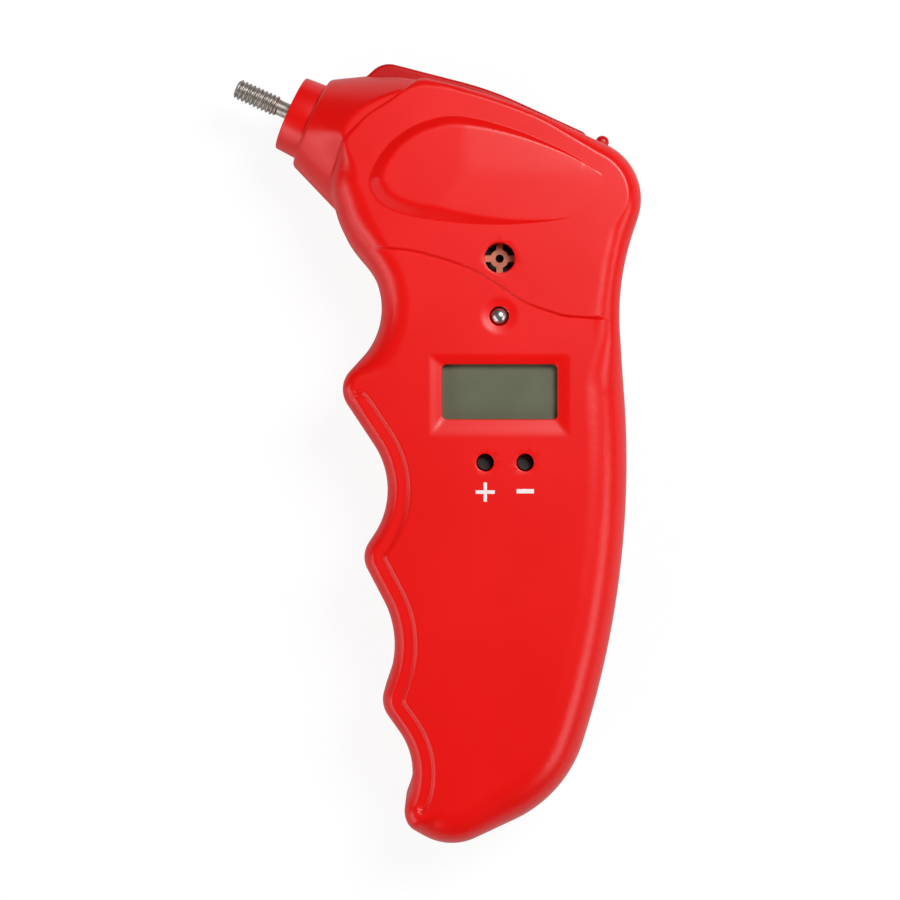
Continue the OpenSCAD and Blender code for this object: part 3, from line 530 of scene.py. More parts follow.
# Outline of the case, clockwise from the middle of the top edge, without the nose.
CASE_LINE = Outline(
    [
        [10.6, 63.85, 110, 1.3], [39.05, 51.45, 10.7, 3.2], [32.1, 30.1, 46, 4.2], [36.5, -19.1, 165, 7.3],
        [23.3, -61.7, 23, 7.5], [1.3, -71.4, 10, 6], [-6.6, -65.1, 4.5, 2.6], [-2.6, -55.2, 12.5, 2.0],
        [-10.1, -44.6, 4.9, 2.0], [-6, -32.6, 17, 2.0], [-13.6, -18.1, 4.6, 2.0], [-5.8, -6.4, 14.5, 2.0],
        [-17.9, 11.9, 4.9, 2.2], [-5.7, 26, 13, 5], [-17.2, 39.6, 18, 6], [-19.3, 49.3, 9, 5.2],
        [-16.7, 56.0, 3.5, 0.9], [-12.2, 60.3, 12, 0.4], [-7.0, 63.6, 30, 0.5], [-3.1, 67.15, 3, 2.0],
    ]
)
# Corners of that list: the rear end of the top edge, the toe of the grip and the ridge under the index finger.
TOP_END, TOE, FIRST_RIDGE = 1, 6, 12


# Finishes


def linear(code: str) -> tuple[float, float, float, float]:
    """Linear colour of an sRGB hex code."""
    parts = [int(code[i : i + 2], 16) / 255.0 for i in (1, 3, 5)]
    return (*(c / 12.92 if c <= 0.04045 else ((c + 0.055) / 1.055) ** 2.4 for c in parts), 1.0)


def add_node(
    tree: bpy.types.NodeTree, kind: str, links: Optional[dict[Any, Any]] = None, **settings: Any
) -> bpy.types.Node:
    """Adds a node with its settings and inputs.

    Args:
        tree: node tree.
        kind: node type.
        links: input name or number to a value or to an output socket.
        settings: node attributes.

    Returns:
        The node.
    """
    made = tree.nodes.new(kind)
    for key, value in settings.items():
        setattr(made, key, value)
    for key, value in (links or {}).items():
        socket = made.inputs[key]
        if isinstance(value, bpy.types.NodeSocket):
            tree.links.new(value, socket)
        else:
            socket.default_value = value
    return made


def calculate(tree: bpy.types.NodeTree, a: Any, b: Any, operation: str) -> bpy.types.NodeSocket:
    """Adds a maths node for two values or sockets and returns its result."""
    return add_node(tree, "ShaderNodeMath", {0: a, 1: b}, operation=operation).outputs[0]


@dataclass(frozen=True)
class Finish:
    """A surface: its colour, how it was made, and the grain that this gives it."""

    name: str
    colour: str
    roughness: float = 0.4
    metallic: float = 0.0
    shade: str = ""
    shade_mm: float = 12.0
    grain_mm: float = 0.5
    grain_depth: float = 0.004
    uneven: float = 0.04
    coat: float = 0.0
    ior: float = 1.5

    def material(self) -> bpy.types.Material:
        """Material of this finish, made once."""
        known = bpy.data.materials.get(self.name)
        if known:
            return known
        made = bpy.data.materials.new(self.name)
        made.use_nodes = True
        tree = made.node_tree
        tree.nodes.clear()
        shader = self.shader(tree)
        add_node(tree, "ShaderNodeOutputMaterial", {"Surface": shader.outputs["BSDF"]})
        return made

    def shader(self, tree: bpy.types.NodeTree) -> bpy.types.Node:
        """Adds the nodes of the surface and returns the shader."""
        place = add_node(tree, "ShaderNodeTexCoord").outputs["Object"]
        tone = add_node(
            tree, "ShaderNodeTexNoise",
            {"Vector": place, "Scale": 1.0 / (self.shade_mm * MM), "Detail": 3.0, "Roughness": 0.55},
        )
        grain = add_node(
            tree, "ShaderNodeTexNoise", {"Vector": place, "Scale": 1.0 / (self.grain_mm * MM), "Detail": 2.0}
        )
        colour = self.mix(tree, tone.outputs["Fac"])
        rough = add_node(
            tree, "ShaderNodeMapRange",
            {"Value": tone.outputs["Fac"], "From Min": 0.15, "From Max": 0.85,
             "To Min": self.roughness - self.uneven, "To Max": self.roughness + self.uneven},
        )
        bump = add_node(
            tree, "ShaderNodeBump", {"Height": grain.outputs["Fac"], "Strength": 1.0, "Distance": self.grain_depth * MM}
        )
        links = {
            "Base Color": colour, "Roughness": rough.outputs["Result"], "Normal": bump.outputs["Normal"],
            "Metallic": self.metallic,
        }
        if not self.metallic:
            links["IOR"] = self.ior
        if self.coat:
            links.update({"Coat Weight": self.coat, "Coat Roughness": 0.08})
        return add_node(tree, "ShaderNodeBsdfPrincipled", links)

    def mix(self, tree: bpy.types.NodeTree, factor: bpy.types.NodeSocket) -> bpy.types.NodeSocket:
        """Colour that drifts between the two tones."""
        ramp = add_node(tree, "ShaderNodeValToRGB", {"Fac": factor})
        low, high = ramp.color_ramp.elements
        low.position, high.position = 0.2, 0.8
        ramp.color_ramp.interpolation = "EASE"
        low.color, high.color = linear(self.shade or self.colour), linear(self.colour)
        return ramp.outputs["Color"]


# Injection-moulded ABS with a fine spark-eroded satin: soft wide highlights, faint tone drift.
# The real texture of about 0.1 mm is drawn at 0.35 mm so that it shows.
CASE_RED = Finish(
    "satin_red_abs", "#EC0905", 0.32, shade="#E60803", shade_mm=18.0,
    grain_mm=0.35, grain_depth=0.0035, uneven=0.025, ior=1.46,
)
# The lever and button are the same plastic, drawn a darker red than the case: painted shade on their low-set tops.
SHADED_LEVER_RED = Finish(
    "satin_red_abs_painted_shade", "#CA080A", 0.33, shade="#C00608", shade_mm=9.0,
    grain_mm=0.35, grain_depth=0.0035, uneven=0.025, ior=1.36,
)
# Steels: turned stainless, zinc plated and drawn. Fine tool marks break up their reflections.
PROBE_STEEL = Finish("turned_stainless_steel", "#CFCAC4", 0.44, 1.0, "#9C9791", 0.9, 0.25, 0.008, 0.06)
SCREW_STEEL = Finish("zinc_plated_steel", "#A3A5AA", 0.36, 1.0, "#8A8C92", 1.5, 0.3, 0.006, 0.05)
SPRING_STEEL = Finish("drawn_spring_steel", "#B4B6BA", 0.34, 1.0, "#9A9CA2", 1.2, 0.3, 0.004, 0.04)
# Turned brass of the guide bush.
BUSH_BRASS = Finish("turned_brass", "#C7A057", 0.35, 1.0, "#A98443", 1.5, 0.3, 0.005, 0.05)
BLACK_PLASTIC = Finish("black_nylon", "#1C1C1E", 0.5, shade="#141415", shade_mm=4.0, grain_mm=0.4)
BOARD_GREEN = Finish("green_solder_mask", "#1E6B3C", 0.38, shade="#19592F", shade_mm=5.0, grain_mm=0.6)
CARBON = Finish("printed_carbon_ink", "#161616", 0.6, shade="#0E0E0E", shade_mm=2.0)
# Moulded black acetal of the setting plungers, drawn darker than the other black plastic: painted shade deep in their
# holes.
PLUNGER_BLACK_SHADED = Finish("black_acetal_painted_shade", "#140E0D", 0.5, shade="#0C0807", shade_mm=2.0, grain_mm=0.4)
# Reflective display: a grey-green rear reflector behind polarising film under thin glass.
LCD_GREY = Finish(
    "polariser_over_liquid_crystal", "#656954", 0.32, shade="#5F634F", shade_mm=9.0,
    grain_mm=0.5, grain_depth=0.0008, uneven=0.02, coat=0.25,
)
STRIP_PINK = Finish("zebra_rubber", "#D0989F", 0.6, shade="#B9838B", shade_mm=1.0)
# Slotted disc of resin-bonded board behind the sound hole.
PLATE_BROWN = Finish(
    "resin_bonded_board", "#CB805F", 0.48, shade="#B26C4D", shade_mm=1.6, grain_mm=0.25, grain_depth=0.008
)
CELL_JACKET = Finish("printed_pvc_sleeve", "#39424F", 0.34, shade="#2E3641", shade_mm=10.0)
LEAD_RED = Finish("red_pvc_insulation", "#B0191C", 0.5, shade="#9A1417", shade_mm=3.0)
LEAD_BLACK = Finish("black_pvc_insulation", "#151516", 0.5, shade="#0E0E0F", shade_mm=3.0)
RIBBON_GREY = Finish("grey_flat_cable", "#BFC1C5", 0.5, shade="#A9ABB0", shade_mm=1.0)
# Pad-printed white ink.
WHITE_INK = Finish("white_pad_print", "#F4EDEC", 0.55, shade="#EADFDE", shade_mm=1.2, grain_mm=0.2, grain_depth=0.004)
# Clear epoxy lens over its bright reflector cup, shown as one dome that mirrors unevenly.
LAMP_CLEAR = Finish("clear_epoxy_lens", "#E2E2E0", 0.34, 1.0, "#7E7F83", 1.1, 0.6, 0.012, 0.05)


def dress(obj: bpy.types.Object, finish: Finish, slot: str) -> None:
    """Gives an object its finish."""
    obj.data.materials.clear()
    obj.data.materials.append(finish.material())
    "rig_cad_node" not in obj


def place(obj: bpy.types.Object, body: Body, finish: Finish, slot: str, *nodes: str) -> bpy.types.Object:
    """Finishes a new piece.

    Args:
        obj: the piece, in place.
        body: the body that it rides on.
        finish: its surface.
        slot: the record's material slot; not used.
        nodes: CAD nodes that it stands for.

    Returns:
        The piece.
    """
    dress(obj, finish, slot)
    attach(obj, body.value)
    if nodes:
        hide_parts(*nodes)
    LOG.info("%s: %d faces on %s", obj.name, len(obj.data.polygons), body.value)
    return obj


# Shells


@dataclass
class HalfShell:
    """One half of the case, built upwards from the parting plane over the same outline.

    Stations t and reaches lat lie along and across the probe's axis. All sizes are in millimetres.
    """

    name: str
    depth: float = 12.0
    wall: float = 2.2
    edge_cap: float = 99.0
    edge_share: float = 0.25
    nose_r: float = 8.7
    nose_chamfer: float = 0.35
    nose_top: float = 12.2
    nose_end: float = 20.0
    nose_plan: float = 16.0
    nose_plan_top: float = 15.0
    cone_slope: tuple[float, float, float] = (0.56, 0.09, -0.07)
    tail_from: float = 14.5
    tail_fall: float = 0.3
    flank_drop: float = 0.16
    flank_run: tuple[float, float] = (8.0, 6.0)
    bore_r: float = 7.27
    slot_height: float = 4.0
    slot_side: float = 8.0
    seam: float = 0.14
    seam_draw: float = 0.1
    crease: float = 0.3
    edge_degrees: Sequence[float] = (7, 14, 22, 31, 40, 50, 60, 70, 80, 90)
    flank_degrees: Sequence[float] = (62, 66, 70, 74, 78, 81, 84, 86.5, 88.5)
    edge_after: Sequence[float] = (0.3, 0.8)
    edge_clear: tuple[float, float] = (-0.08, 0.05)
    hidden_gap: float = 0.03
    body_area: tuple[float, float, float, float] = (-30.0, 40.0, -73.0, 72.0)
    body_step: float = 1.5
    nose_area: tuple[float, float, float, float] = (-26.0, 4.0, 38.0, 72.0)
    nose_step: float = 0.4
    flat_gap: float = 0.5
    flat_clear: float = 0.35
    slots: Sequence[tuple[float, float]] = ((4.8, 47.1), (48.05, 50.75))
    upper_side: Sequence[tuple[float, float]] = (
        (0, 8.35), (0.35, 8.7), (3.3, 10.15), (5.96, 11.55), (10, 12.75), (14.95, 13.85)
    )

    def __post_init__(self) -> None:
        """Finds where the nose leaves the body in plan."""
        line = CASE_LINE
        t, lat = NOSE.along(line.points)
        hidden = (t > 0) & (t < self.nose_plan) & (np.abs(lat) < self.side(t, np.sign(lat)))
        hidden &= ~((lat > 0) & (t > self.nose_plan_top))
        n = len(line.points)
        first = next(k for k in range(n) if hidden[k] and not hidden[k - 1])
        run = [k % n for k in range(first, first + n) if hidden[k % n]]
        self.hidden_run = run
        self.joints = [self.crossing(run[0] - 1, run[0]), self.crossing((run[-1] + 1) % n, run[-1])]

    def cone(self, t: Array, theta: Array) -> Array:
        """Radius of the nose at a station and an angle from straight up."""
        t, theta = np.asarray(t, float), np.asarray(theta, float)
        mean, tilt, bulge = self.cone_slope
        slope = mean + tilt * np.sin(theta) + bulge * np.sin(theta) ** 2
        into = t - self.nose_chamfer
        return np.where(into < 0, self.nose_r - self.nose_chamfer + t, self.nose_r + slope * into)

    def side(self, t: Array, sign: Any) -> Array:
        """Reach of the nose's border from its axis: the cone below, the line of the lever's slot above."""
        line = flow_line(self.upper_side)
        above, below = np.interp(t, line[:, 0], line[:, 1]), self.cone(t, np.full_like(t, -math.pi / 2))
        return np.where(np.asarray(sign) > 0, above, below)

    def crossing(self, outer: int, inner: int) -> Array:
        """Point where the outline enters the nose between two samples."""
        a, b = CASE_LINE.points[outer], CASE_LINE.points[inner]
        for _ in range(30):
            m = (a + b) / 2
            t, lat = NOSE.along(m[None])
            if abs(lat[0]) < float(self.side(t, np.sign(lat))[0]):
                b = m
            else:
                a = m
        return (a + b) / 2

    def nose_height(self, points: Array) -> Array:
        """Height of the nose over the parting plane, or below it where there is none."""
        t, lat = NOSE.along(points)
        r = self.nose_r + 0.5 * np.maximum(t, 0)
        for _ in range(6):
            r = self.cone(t, np.arcsin(np.clip(lat / r, -1, 1)))
        z = np.sqrt(np.maximum(r * r - lat * lat, 0.0))
        run_t, run_lat = self.flank_run
        z = z * (1.0 - self.flank_drop * ease(t / run_t) * ease(-lat / run_lat))
        z = -smooth_max(-z, np.full_like(z, -self.nose_top), self.crease)
        z -= self.tail_fall * np.maximum(t - self.tail_from, 0.0) ** 2
        return np.where((t < -1e-6) | (t > self.nose_end) | (np.abs(lat) > r + 1e-3), NO_NOSE, z)

    def edge_height(self, d: Array, r: Array, depth: Array, along: Array) -> Array:
        """Height of the body at a distance inside its outline, with a round edge."""
        r = np.minimum(r, self.edge_cap)
        gap = np.clip(r - np.maximum(d, 0.0), 0.0, None)
        return depth - r + np.sqrt(np.maximum(r * r - gap * gap, 0.0))

    def face_depth(self, points: Array, d: Array, along: Array) -> Array:
        """Height of the face before its edge is rounded."""
        return np.full(len(points), self.depth)

    def features(self, points: Array) -> Array:
        """Height that raised and sunk details add to the face."""
        return np.zeros(len(points))

    def height(self, points: Array, rule: Array) -> Array:
        """Height over the parting plane.

        Args:
            points: x and y, one row each.
            rule: 0 anywhere, 1 on the body's edge, 2 on the nose only.

        Returns:
            The heights.
        """
        d, along, r, _ = CASE_LINE.nearest(points)
        d = np.where(rule == 1, 0.0, d)
        body = self.edge_height(d, r, self.face_depth(points, d, along), along) + self.features(points)
        body = np.where((d < -1e-6) | (rule == 2), NO_BODY, body)
        nose = self.nose_height(points)
        z = smooth_max(body, nose, self.crease)
        return np.where(rule == 1, np.maximum(body, nose), np.maximum(z, 0.0))

    def hole_loops(self) -> list[Array]:
        """Borders of the openings in the face."""
        return []

    def hole_rings(self) -> list[Array]:
        """Loops close round the openings, where their edges are eased."""
        return []

    def lines(self) -> list[Array]:
        """Open lines on the face that edges follow."""
        return []

    def close_points(self) -> list[Array]:
        """Extra points where the face bends."""
        return []

    def border(self) -> tuple[Array, Array]:
        """Outline of body and nose together, anticlockwise, with the height rule of each point."""
        n = len(CASE_LINE.points)
        body = [CASE_LINE.points[(self.hidden_run[-1] + 1 + k) % n] for k in range(n - len(self.hidden_run))]
        low, high = self.joints
        front = self.nose_r - self.nose_chamfer
        lats = front * np.sin(np.radians(np.linspace(-90, 90, 61)[1:-1]))
        lats = np.unique(np.concatenate([lats, [-self.bore_r, self.bore_r]]))
        nose = np.vstack([self.nose_side(low, -1.0), NOSE.out(0.0, lats, 0.0)[:, :2], self.nose_side(high, 1.0)[::-1]])
        points = np.vstack([high[None], body, low[None], nose])
        rule = np.concatenate([np.ones(len(body) + 2), np.full(len(nose), 2)])
        points, rule = self.with_slot_ends(points, rule)
        return points[::-1], rule[::-1]

    def nose_side(self, joint: Array, sign: float) -> Array:
        """Border of the nose on one side, from after its joint with the body to its front."""
        end, chamfer = NOSE.along(joint[None])[0][0], self.nose_chamfer
        t = np.linspace(end, chamfer, round(end / CASE_LINE.spacing))
        t = np.concatenate([t, [chamfer / 2, 0.0]])[1:]
        return NOSE.out(t, sign * self.side(t, sign), 0.0)[:, :2]

    def with_slot_ends(self, points: Array, rule: Array) -> tuple[Array, Array]:
        """Adds the ends of the lever's and the button's slots to the border."""
        for value in [v for pair in self.slots for v in pair]:
            t, lat = NOSE.along(points)
            for k in range(len(points) - 1):
                on_top = min(lat[k], lat[k + 1]) > self.slot_side
                if on_top and (t[k] - value) * (t[k + 1] - value) < 0:
                    f = (value - t[k]) / (t[k + 1] - t[k])
                    points = np.insert(points, k + 1, points[k] + f * (points[k + 1] - points[k]), axis=0)
                    rule = np.insert(rule, k + 1, rule[k])
                    break
        return points, rule

    def build(self) -> bpy.types.Object:
        """Makes the shell as one closed mesh."""
        soup = Soup()
        border, rule = self.border()
        points, rules, edges, total = [border], [rule], ring_edges(len(border)), len(border)

        def put(row: Array, value: int, closed: bool) -> None:
            """Adds a line of points whose sides stay edges."""
            nonlocal total
            points.append(row)
            rules.append(np.full(len(row), value))
            sides = ring_edges(len(row), total)
            edges.extend(sides if closed else sides[:-1])
            total += len(row)

        loops = self.hole_loops()
        for loop in loops + self.hole_rings():
            put(loop, 0, True)
        r = np.minimum(CASE_LINE.rounding, self.edge_cap)
        for degrees in self.edge_degrees:
            inset = r * (1 - math.cos(math.radians(degrees)))
            put(CASE_LINE.points + inset[:, None] * CASE_LINE.inward, 0, True)
        run = np.array(self.hidden_run)
        put(CASE_LINE.points[run], 1, False)
        put((CASE_LINE.points - self.hidden_gap * CASE_LINE.inward)[run], 2, False)
        for row in self.lines():
            put(row, 0, False)
        loose = [self.grid(self.body_area, self.body_step), self.grid(self.nose_area, self.nose_step)]
        loose += [self.nose_rows(), *self.close_points()]
        loose += [CASE_LINE.points + (r + gap)[:, None] * CASE_LINE.inward for gap in self.edge_after]
        out, into = self.edge_clear
        for row in loose:
            d = CASE_LINE.nearest(row)[0]
            keep = inside_loops(row, [border, *loops]) & ((d > into) | (d < out))
            points.append(row[keep])
            rules.append(np.zeros(int(keep.sum())))
        verts, tris, origin = triangulate(np.vstack(points), edges, [border, *loops])
        given = np.concatenate(rules)
        z = self.height(verts, np.where(origin >= 0, given[np.maximum(origin, 0)], 0))
        LOG.info("%s: %d points on the face", self.name, len(np.unique(tris)))
        soup.add(at_height(verts, z), tris, Skin.FACE)
        chains = border_loops(tris)
        chains.sort(key=len)
        outer = max(chains, key=lambda chain: np.ptp(verts[chain][:, 1]))
        inner_loop = self.close_border(soup, verts[outer], z[outer])
        holes = [(verts[c], z[c]) for c in chains if c is not outer]
        self.close_inside(soup, inner_loop, holes)
        return self.finish(soup)

    def grid(self, area: tuple[float, float, float, float], step: float) -> Array:
        """Grid of points over an area, every other row shifted by half a step."""
        x0, x1, y0, y1 = area
        gx, gy = np.meshgrid(np.arange(x0, x1, step), np.arange(y0, y1, step))
        gx = gx + (np.arange(len(gy)) % 2 * step / 2)[:, None]
        return np.column_stack([gx.ravel(), gy.ravel()])

    def nose_rows(self) -> Array:
        """Points along the nose where it curves down to the parting plane, and at its front edge."""
        rows = []
        for degrees in self.flank_degrees:
            for sign in (-1, 1):
                t = np.arange(0.2, self.nose_plan_top, CASE_LINE.spacing)
                a = sign * math.radians(degrees)
                rows.append(NOSE.out(t, self.cone(t, np.full_like(t, a)) * math.sin(a), 0.0)[:, :2])
        a = np.radians(np.linspace(-89, 89, 100))
        for t in (0.02, self.nose_chamfer):
            rows.append(NOSE.out(t, self.cone(np.full_like(a, t), a) * np.sin(a), 0.0)[:, :2])
        return np.vstack(rows)

    def inner_place(self, points: Array) -> Array:
        """Places of the hollow's border beside the outer border."""
        d, _, r, inward = CASE_LINE.nearest(points)
        body = points + (self.wall + self.edge_share * r)[:, None] * inward
        t, lat = NOSE.along(points)
        run = np.array(self.hidden_run)
        inset = self.wall + self.edge_share * CASE_LINE.rounding[run]
        t_in, lat_in = NOSE.along(CASE_LINE.points[run] + inset[:, None] * CASE_LINE.inward[run])
        lat_in = np.maximum.accumulate(lat_in)
        ends = [NOSE.along(joint[None])[0][0] for joint in self.joints]
        low = lat_in[0] + (-self.bore_r - lat_in[0]) * (1 - t / ends[0])
        high = lat_in[-1] + (self.bore_r - lat_in[-1]) * (1 - t / ends[1])
        reach = np.where(np.abs(t) < 1e-3, np.clip(lat, -self.bore_r, self.bore_r), np.where(lat < 0, low, high))
        nose = NOSE.out(np.interp(reach, lat_in, t_in), reach, 0.0)[:, :2]
        on_nose = (d < -0.01) & (t < self.nose_plan)
        return np.where(on_nose[:, None], nose, body)

    def close_border(self, soup: Soup, border: Array, top: Array) -> Array:
        """Adds the wall, the seam and the parting face, with the slots and the collar's bore.

        Args:
            soup: the shell's triangles.
            border: outer border, anticlockwise.
            top: height of the face along it.

        Returns:
            The border of the hollow.
        """
        t, lat = NOSE.along(border)
        d, _, _, inward = CASE_LINE.nearest(border)
        inner = self.inner_place(border)
        ceiling = self.depth - self.wall
        front = (np.abs(t) < 1e-3) & (np.abs(lat) < self.bore_r)
        foot = np.where(front, np.sqrt(np.maximum(self.bore_r ** 2 - lat ** 2, 0.0)), 0.0)
        mid_t = (t + np.roll(t, -1)) / 2
        cut = np.zeros(len(border), bool)
        for low, high in self.slots:
            cut |= (mid_t > low) & (mid_t < high) & (lat > self.slot_side)
        shift = np.where((top > 1.0) & (d > -0.01), self.seam_draw, 0.0)
        rows = [at_height(border, z) for z in (top, *(np.clip(h, foot, top) for h in (self.slot_height, self.seam)))]
        rows.append(at_height(border + shift[:, None] * inward, foot))
        inside = [at_height(inner, z) for z in (ceiling, np.clip(self.slot_height, foot, ceiling), foot)]
        n = len(border)

        def pair(a: Array, b: Array, tag: Skin) -> None:
            """Adds the stretch of the band between two rows that starts at point k."""
            soup.strip(np.array([a[k], a[m]]), np.array([b[k], b[m]]), tag, False)

        for k in range(n):
            m = (k + 1) % n
            pair(rows[0], rows[1], Skin.WALL)
            pair(inside[1], inside[0], Skin.INSIDE)
            if cut[k]:
                pair(rows[1], inside[1], Skin.RIM)
            else:
                pair(rows[1], rows[2], Skin.WALL)
                pair(rows[2], rows[3], Skin.SEAM)
                pair(rows[3], inside[2], Skin.RIM)
                pair(inside[2], inside[1], Skin.INSIDE)
            if cut[k] != cut[k - 1]:
                ring = np.array([rows[1][k], rows[2][k], rows[3][k], inside[2][k], inside[1][k]])
                fan = [[0, 1, 2], [0, 2, 3], [0, 3, 4]]
                soup.add(ring, fan if cut[k] else [f[::-1] for f in fan], Skin.RIM)
        return inner

    def close_inside(self, soup: Soup, inner: Array, holes: Sequence[tuple[Array, Array]]) -> None:
        """Adds the hollow's ceiling and the walls of the openings."""
        ceiling = self.depth - self.wall
        keep = np.linalg.norm(inner - np.roll(inner, 1, axis=0), axis=1) > 1e-4
        loops = [inner[keep], *(xy for xy, _ in holes)]
        self.flat(soup, loops, ceiling, Skin.INSIDE, down=True)
        for xy, top in holes:
            soup.strip(at_height(xy, top), at_height(xy, ceiling), Skin.HOLE)

    def flat(self, soup: Soup, loops: Sequence[Array], z: float, tag: Skin, down: bool) -> None:
        """Adds a level face with holes."""
        points, edges, total = np.vstack(loops), [], 0
        for loop in loops:
            edges += ring_edges(len(loop), total)
            total += len(loop)
        near = np.vstack([beside(loop, gap) for loop in loops for gap in (-self.flat_gap, self.flat_gap)])
        near = near[inside_loops(near, loops)]
        clear = np.array([np.hypot(*(points - p).T).min() > self.flat_clear for p in near], bool)
        verts, tris, _ = triangulate(np.vstack([points, near[clear]]), edges, loops)
        soup.add(at_height(verts, z), tris[:, ::-1] if down else tris, tag)

    def finish(self, soup: Soup) -> bpy.types.Object:
        """Sets the shell on the parting plane."""
        for points in soup.points:
            points[:, 2] += NOSE.z
        return soup.build(self.name, [(Skin.FACE, Skin.WALL)])


@dataclass
class FrontShell(HalfShell):
    """Face half: head panel, thumb pad, stepped band, display bezel, sound, lamp and setting holes.

    The rows place fine points beside a form: in millimetres for the band, else as shares of its width.
    """

    name: str = "front_case"
    head_raise: float = 0.5
    step_w: float = 0.45
    step_fade: float = 14.0
    step_from: float = 2.0
    step_run: float = 3.0
    panel_line: Sequence[tuple[float, float]] = (
        (-20, 36.6), (-7, 36.4), (-0.4, 35.1), (6.1, 32.9), (11.1, 30), (15.5, 27.1), (20.5, 25.2), (25, 24.3),
        (40, 23.7),
    )
    pad_raise: float = 1.05
    pad_side: float = 1.55
    pad_line: Sequence[tuple[float, float]] = (
        (-11.95, 48.6), (-10.7, 51.9), (-7.9, 55.6), (-3.8, 58.4), (1.1, 59.85), (4.35, 59.95), (8.4, 59.2),
        (14.5, 57.4), (20.6, 54.8), (24.7, 52.7), (29.6, 49.5), (31.5, 46.5), (29.5, 43.6), (22.7, 41.6),
        (18.6, 41.05), (12.5, 40.6), (4.4, 40.85), (-4.6, 42.15), (-7.9, 43.2), (-10.3, 44.6), (-11.7, 46.8),
    )
    pad_back: tuple[float, float] = (23.0, 30.0)
    pad_back_y: tuple[float, float] = (41.0, 9.0)
    pad_fade: float = 25.0
    pad_front: tuple[float, float] = (0.85, 0.53)
    pad_widen: float = 0.6
    pad_least: float = 0.12
    blend: float = 0.3
    band_drop: float = 0.6
    band_foot: float = 3.5
    band_top: float = 4.35
    band_run: float = 6.0
    toe_run: float = 8.0
    band_over: float = 2.0
    band_edge: float = 3.6
    band_edge_w: float = 1.75
    band_corner: float = 0.12
    band_end_foot: float = 3.0
    band_end_top: float = 3.8
    band_gain: float = 1.3
    panel_rows: Sequence[float] = (-2.2, -1.3, -0.85, -0.62, 0.62, 0.85, 1.3, 2.2)
    pad_rows: Sequence[float] = (-0.4, -0.1, 0.15, 0.3, 0.45, 0.6, 0.75, 0.87, 0.95, 1.03, 1.12, 1.25, 1.5)
    top_rows: Sequence[float] = (0.4, 0.45, 0.5, 0.53, 0.56, 0.6, 0.66, 0.75)
    bezel_rows: Sequence[float] = (0.15, 0.3, 0.45, 0.6, 0.75, 0.85, 0.95, 1.05, 1.15, 1.3)
    band_rows: Sequence[float] = (
        1.5, 1.57, 1.73, 1.81, 1.89, 2.2, 2.45, 2.7, 3.0, 3.25, 3.4, 3.52, 3.65, 3.78, 3.9, 4.03, 4.16, 4.28, 4.4,
        4.6, 5.0,
    )
    top_run: float = 6.0
    top_over: float = 3.0
    top_fade: float = 12.0
    top_widen: float = 0.4
    top_cut: float = 0.23
    window: tuple[float, float, float, float] = (11.3, 11.05, 10.25, 4.9)
    window_r: float = 0.8
    bezel: tuple[float, float, float, float] = (2.1, 2.0, 2.8, 1.6)
    bezel_depth: float = 0.5
    bezel_reach: float = 1.12
    bezel_curve: float = 1.5
    sound_at: tuple[float, float] = (11.3, 34.8)
    sound_r: float = 2.7
    lamp_at: tuple[float, float] = LAMP_AT
    lamp_r: float = 1.7
    dish_r: float = 3.5
    dish_depth: float = 0.2
    set_at: Sequence[tuple[float, float]] = ((8.7, -1.5), (15.8, -1.5))
    set_r: float = 1.55
    ease_r: float = 0.22

    def __post_init__(self) -> None:
        """Samples the panel's end and the pad's border."""
        super().__post_init__()
        self.panel = flow_line(self.panel_line)
        self.pad = Outline(eased(self.pad_line), spacing=0.4)

    def panel_side(self, points: Array) -> Array:
        """Distance from the panel's end, positive on the head."""
        x, y = self.panel[:, 0], self.panel[:, 1]
        lean = np.interp(points[:, 0], x, np.gradient(y, x))
        return (points[:, 1] - np.interp(points[:, 0], x, y)) / np.sqrt(1.0 + lean * lean)

    def band_share(self, along: Array) -> Array:
        """How much of the stepped band is there at a place along the outline."""
        start, end = CASE_LINE.middles[TOE] - self.band_over, CASE_LINE.middles[FIRST_RIDGE]
        return ease((along - start) / self.toe_run) * ease((end - along) / self.band_run)

    def top_share(self, along: Array) -> Array:
        """How much of the narrow corner of the head's top edge is there at a place along the outline."""
        past = along - CASE_LINE.middles[TOP_END] - self.top_over
        return ease(along / self.top_run) * (1.0 - ease(past / self.top_fade))

    def edge_height(self, d: Array, r: Array, depth: Array, along: Array) -> Array:
        """Height near the outline: a round edge, or beside the band and on top a steeper one with a narrow corner."""
        band, top = self.band_share(along), self.top_share(along)
        wide = r + (self.band_edge - r) * band + self.top_widen * r * top
        cut = r + (self.band_edge_w - r) * band - self.top_cut * r * top
        lift = wide - np.sqrt(np.maximum(wide ** 2 - (wide - cut) ** 2, 0.0))
        gap = np.clip(wide - np.maximum(d, 0.0), 0.0, None)
        arc = depth + lift - wide + np.sqrt(np.maximum(wide * wide - gap * gap, 0.0))
        return -smooth_max(-arc, -depth, np.maximum(self.band_corner * (band + top), 1e-6))

    def face_depth(self, points: Array, d: Array, along: Array) -> Array:
        """Face height: the head stands over the grip, and the band along the fingers lies lower."""
        side = self.panel_side(points)
        soft = ease(side / self.step_fade + 0.5)
        head = soft + (ease(side / self.step_w + 0.5) - soft) * ease((d - self.step_from) / self.step_run)
        share = self.band_share(along)
        foot = self.band_end_foot + (self.band_foot - self.band_end_foot) * share
        top = self.band_end_top + (self.band_top - self.band_end_top) * share
        rise = np.clip((d - foot) / (top - foot), 0.0, 1.0)
        drop = self.band_drop * ease(share * self.band_gain) * (1.0 - rise) ** 2
        return self.depth + self.head_raise * head - drop

    def pad_share(self, points: Array) -> Array:
        """How much of the pad's height is left at a place: it sinks into the head towards the back."""
        low, high = self.pad_back
        start, span = self.pad_back_y
        end = low + (high - low) * np.clip((points[:, 1] - start) / span, 0.0, 1.0)
        return np.clip((end - points[:, 0]) / self.pad_fade, 0.0, 1.0)

